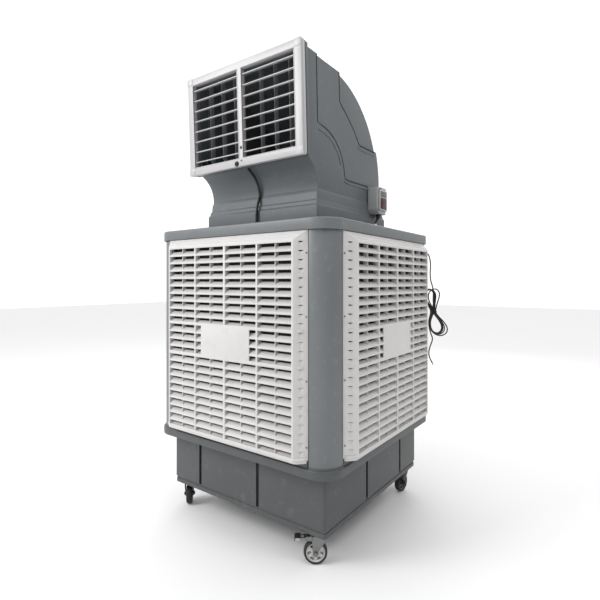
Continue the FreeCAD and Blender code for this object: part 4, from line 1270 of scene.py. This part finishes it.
box = {"inner": 342, "face": 400, "front": 142, "back": 237, "low": 1540, "high": 1680, "gap": 1,
       "coverThick": 9, "hinge": (406.5, 1674), "toggle": (378, 1624), "middle": 189.5, "pin": 2}


def makeControlBox():
    inner, face, front, back = (box[key] for key in ("inner", "face", "front", "back"))
    low, high = box["low"], box["high"]
    side = [(front, low + 22), (front + 16, low), (back, low), (back, high - 3), (back - 3, high),
            (front, high)]
    shell = addOutline("controlBoxShell", [(inner + 0.6, y, z) for y, z in side], (face - inner - 0.6, 0, 0))
    cutBox(shell, (330, 100, 1530), (347, 330, 1548))
    softenEdges(shell, 2.6, 3)
    cutBox(shell, (inner + 25, 160, 1592), (face + 5, 219, 1656))
    seam = addBox("boxSeam", (face - 14, front - 1.0, low + 26), (face - 11.5, back + 1.0, high + 0.8))
    cutBox(seam, (380, front + 2, 1500), (400, back - 2, high - 2))
    pieces = [shell, softenEdges(seam, 0.5, 2),
              addBox("boxFoot", (336, front + 10, 1600), (inner + 4, back - 10, 1670))]
    hingeX, hingeZ = box["hinge"]
    for y in (156, 216):
        pieces.append(softBox("knuckle", (face - 1, y, hingeZ - 3.5),
                              (hingeX + 3, y + 7, hingeZ + 3.5), 1.6, 3))
    for (x, z), start, stop in ((box["hinge"], 156, 223), (box["toggle"], 159, 220)):
        pieces.append(addRod("pin", (x, start, z), (x, stop, z), box["pin"], 14))
    finishPiece(joinAll("controlBox", pieces), "greyBoxPlastic", stands=("control_box",))


def makeBoxCover():
    hingeX, hingeZ = box["hinge"]
    low = box["face"] + box["gap"]
    face = low + box["coverThick"]
    plate = addBox("coverPlate", (low, 147, 1557), (face, 232, hingeZ - 8))
    bevelEdges(plate, lambda at, along: abs(along.x) > 0.9, 7, 4)
    openEdit(plate)
    pickFaces(plate, lambda at, normal: normal.x < -0.9)
    bpy.ops.mesh.inset(thickness=3.4 * mm, depth=-6 * mm)
    closeEdit()
    softenEdges(plate, 1.4, 3, 40)
    neck = softBox("coverNeck", (box["face"] + 3, 167, hingeZ - 10), (face - 0.6, 212, hingeZ), 1)
    barrel = addTurned("coverBarrel", [(2.06, -23.5), (4, -23.5), (4, 23.5), (2.06, 23.5)],
                       (hingeX, box["middle"], hingeZ), (0, 1, 0), 20)
    inset = softBox("coverInset", (face - 1, 156, 1628), (face + 0.9, 223, 1658), 0.8, 2, 40)
    window = addBox("coverWindow", (face - 1.5, 155, 1565), (face + 1.4, 224, 1624))
    bevelEdges(window, lambda at, along: abs(along.x) > 0.9, 5, 4)
    softenEdges(window, 0.7, 2, 40)
    paint("greyBoxPlastic", plate, neck, barrel)
    paint("coverInset", inset)
    paint("windowRed", window)
    cover = joinAll("controlBoxCover", [plate, neck, barrel, inset, window])
    finishPiece(cover, None, "flap", ("control_box_cover",))


def makeToggle():
    x, z = box["toggle"]
    barrel = addTurned("toggleBarrel", [(2.06, -14), (6.4, -14), (7, -13), (7, 13), (6.4, 14), (2.06, 14)],
                       (x, box["middle"], z), (0, 1, 0), 28)
    lever = addBox("toggleLever", (x + 4, 178, z - 3), (x + 18, 201, z + 3))
    openEdit(lever)
    pickFaces(lever, lambda at, normal: normal.x > 0.9)
    bpy.ops.transform.resize(value=(1, 0.92, 0.6), center_override=Vector((x + 18, box["middle"], z)) * mm)
    closeEdit()
    softenEdges(lever, 1, 3)
    pivot = (x, box["middle"], z)
    lever.data.transform(movedBy(pivot) @ Matrix.Rotation(math.radians(18), 4, "Y") @ movedBy(pivot).inverted())
    toggle = joinAll("breakerToggle", [barrel, lever])
    finishPiece(toggle, "hubBlack", "toggle", ("breaker_toggle",))


makeControlBox()
makeBoxCover()
makeToggle()


# swing cable down the duct's front, and the control box cable

cable = {
    "swing": [(0, -415, 1719), (0, -385, 1700), (0, -358, 1672), (0, -341, 1641), (0, -333, 1606),
              (0, -340, 1584), (0, -348, 1562), (0, -356, 1538), (0, -359, 1500), (0, -358, 1441)],
    "box": [(378, 198, 1544), (378, 193, 1526), (379, 179, 1508), (380, 163, 1498), (380, 152, 1486)],
    "swingRadius": 6.5, "boxRadius": 7, "gland": (380, 150, 1440),
}


def makeCables():
    swing = toMesh(curveThrough("swingCable", inMetres(cable["swing"]), cable["swingRadius"] * mm))
    foot = addTurned("swingGrommet", [(6, 0), (12, 0), (12, 3), (9.5, 7), (8.2, 12), (6.4, 12.6), (6, 12)],
                     (0, -358, 1440), (0, 0, 1), 24)
    finishPiece(joinAll("swingCable", [swing, foot]), "blackCable", stands=("swing_cable",))

    boot = addRod("boxBoot", (378, 198, 1546), (378.5, 186, 1516), 17, 28, endRadius=8)
    softenEdges(boot, 1.6, 2, 25)
    lead = toMesh(curveThrough("boxLead", inMetres(cable["box"]), cable["boxRadius"] * mm))
    finishPiece(joinAll("boxCable", [boot, lead]), "blackCable", stands=("box_cable",))
    x, y, z = cable["gland"]
    fitting = addTurned("boxGland", [(7, 0), (13, 0), (13, 7), (11, 8), (11, 24), (12, 25), (12, 36),
                                     (10.5, 40), (9, 44), (8.4, 46), (7, 46)], (x, y, z), (0, 0, 1), 28)
    nut = addRod("boxGlandNut", (x, y, z + 7), (x, y, z + 18), 15, 6)
    combine(nut, addRod("nutHole", (x, y, z), (x, y, z + 30), 9, 20))
    softenEdges(nut, 1, 2)
    finishPiece(joinAll("boxGland", [fitting, nut]), "whiteFitting")


makeCables()
print("control box and cables made")


# works inside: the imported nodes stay, with their own finishes

insideFinish = {
    "swing_motor": "blackPlastic", "pump": "blackPlastic", "drain_plug": "blackPlastic",
    "float_arm": "blackPlastic", "water_distributor": "waterPipe", "fan_shroud": "fanPlastic",
    "fan_rotor": "fanPlastic", "fan_motor": "motorPaint", "motor_bracket": "blackSteel",
    "float_valve": "valveBrass",
}
for node, finish in insideFinish.items():
    paint(finish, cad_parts[node])
print("inside nodes painted:", len(insideFinish))


# end: leave nothing selected

deselectAll()
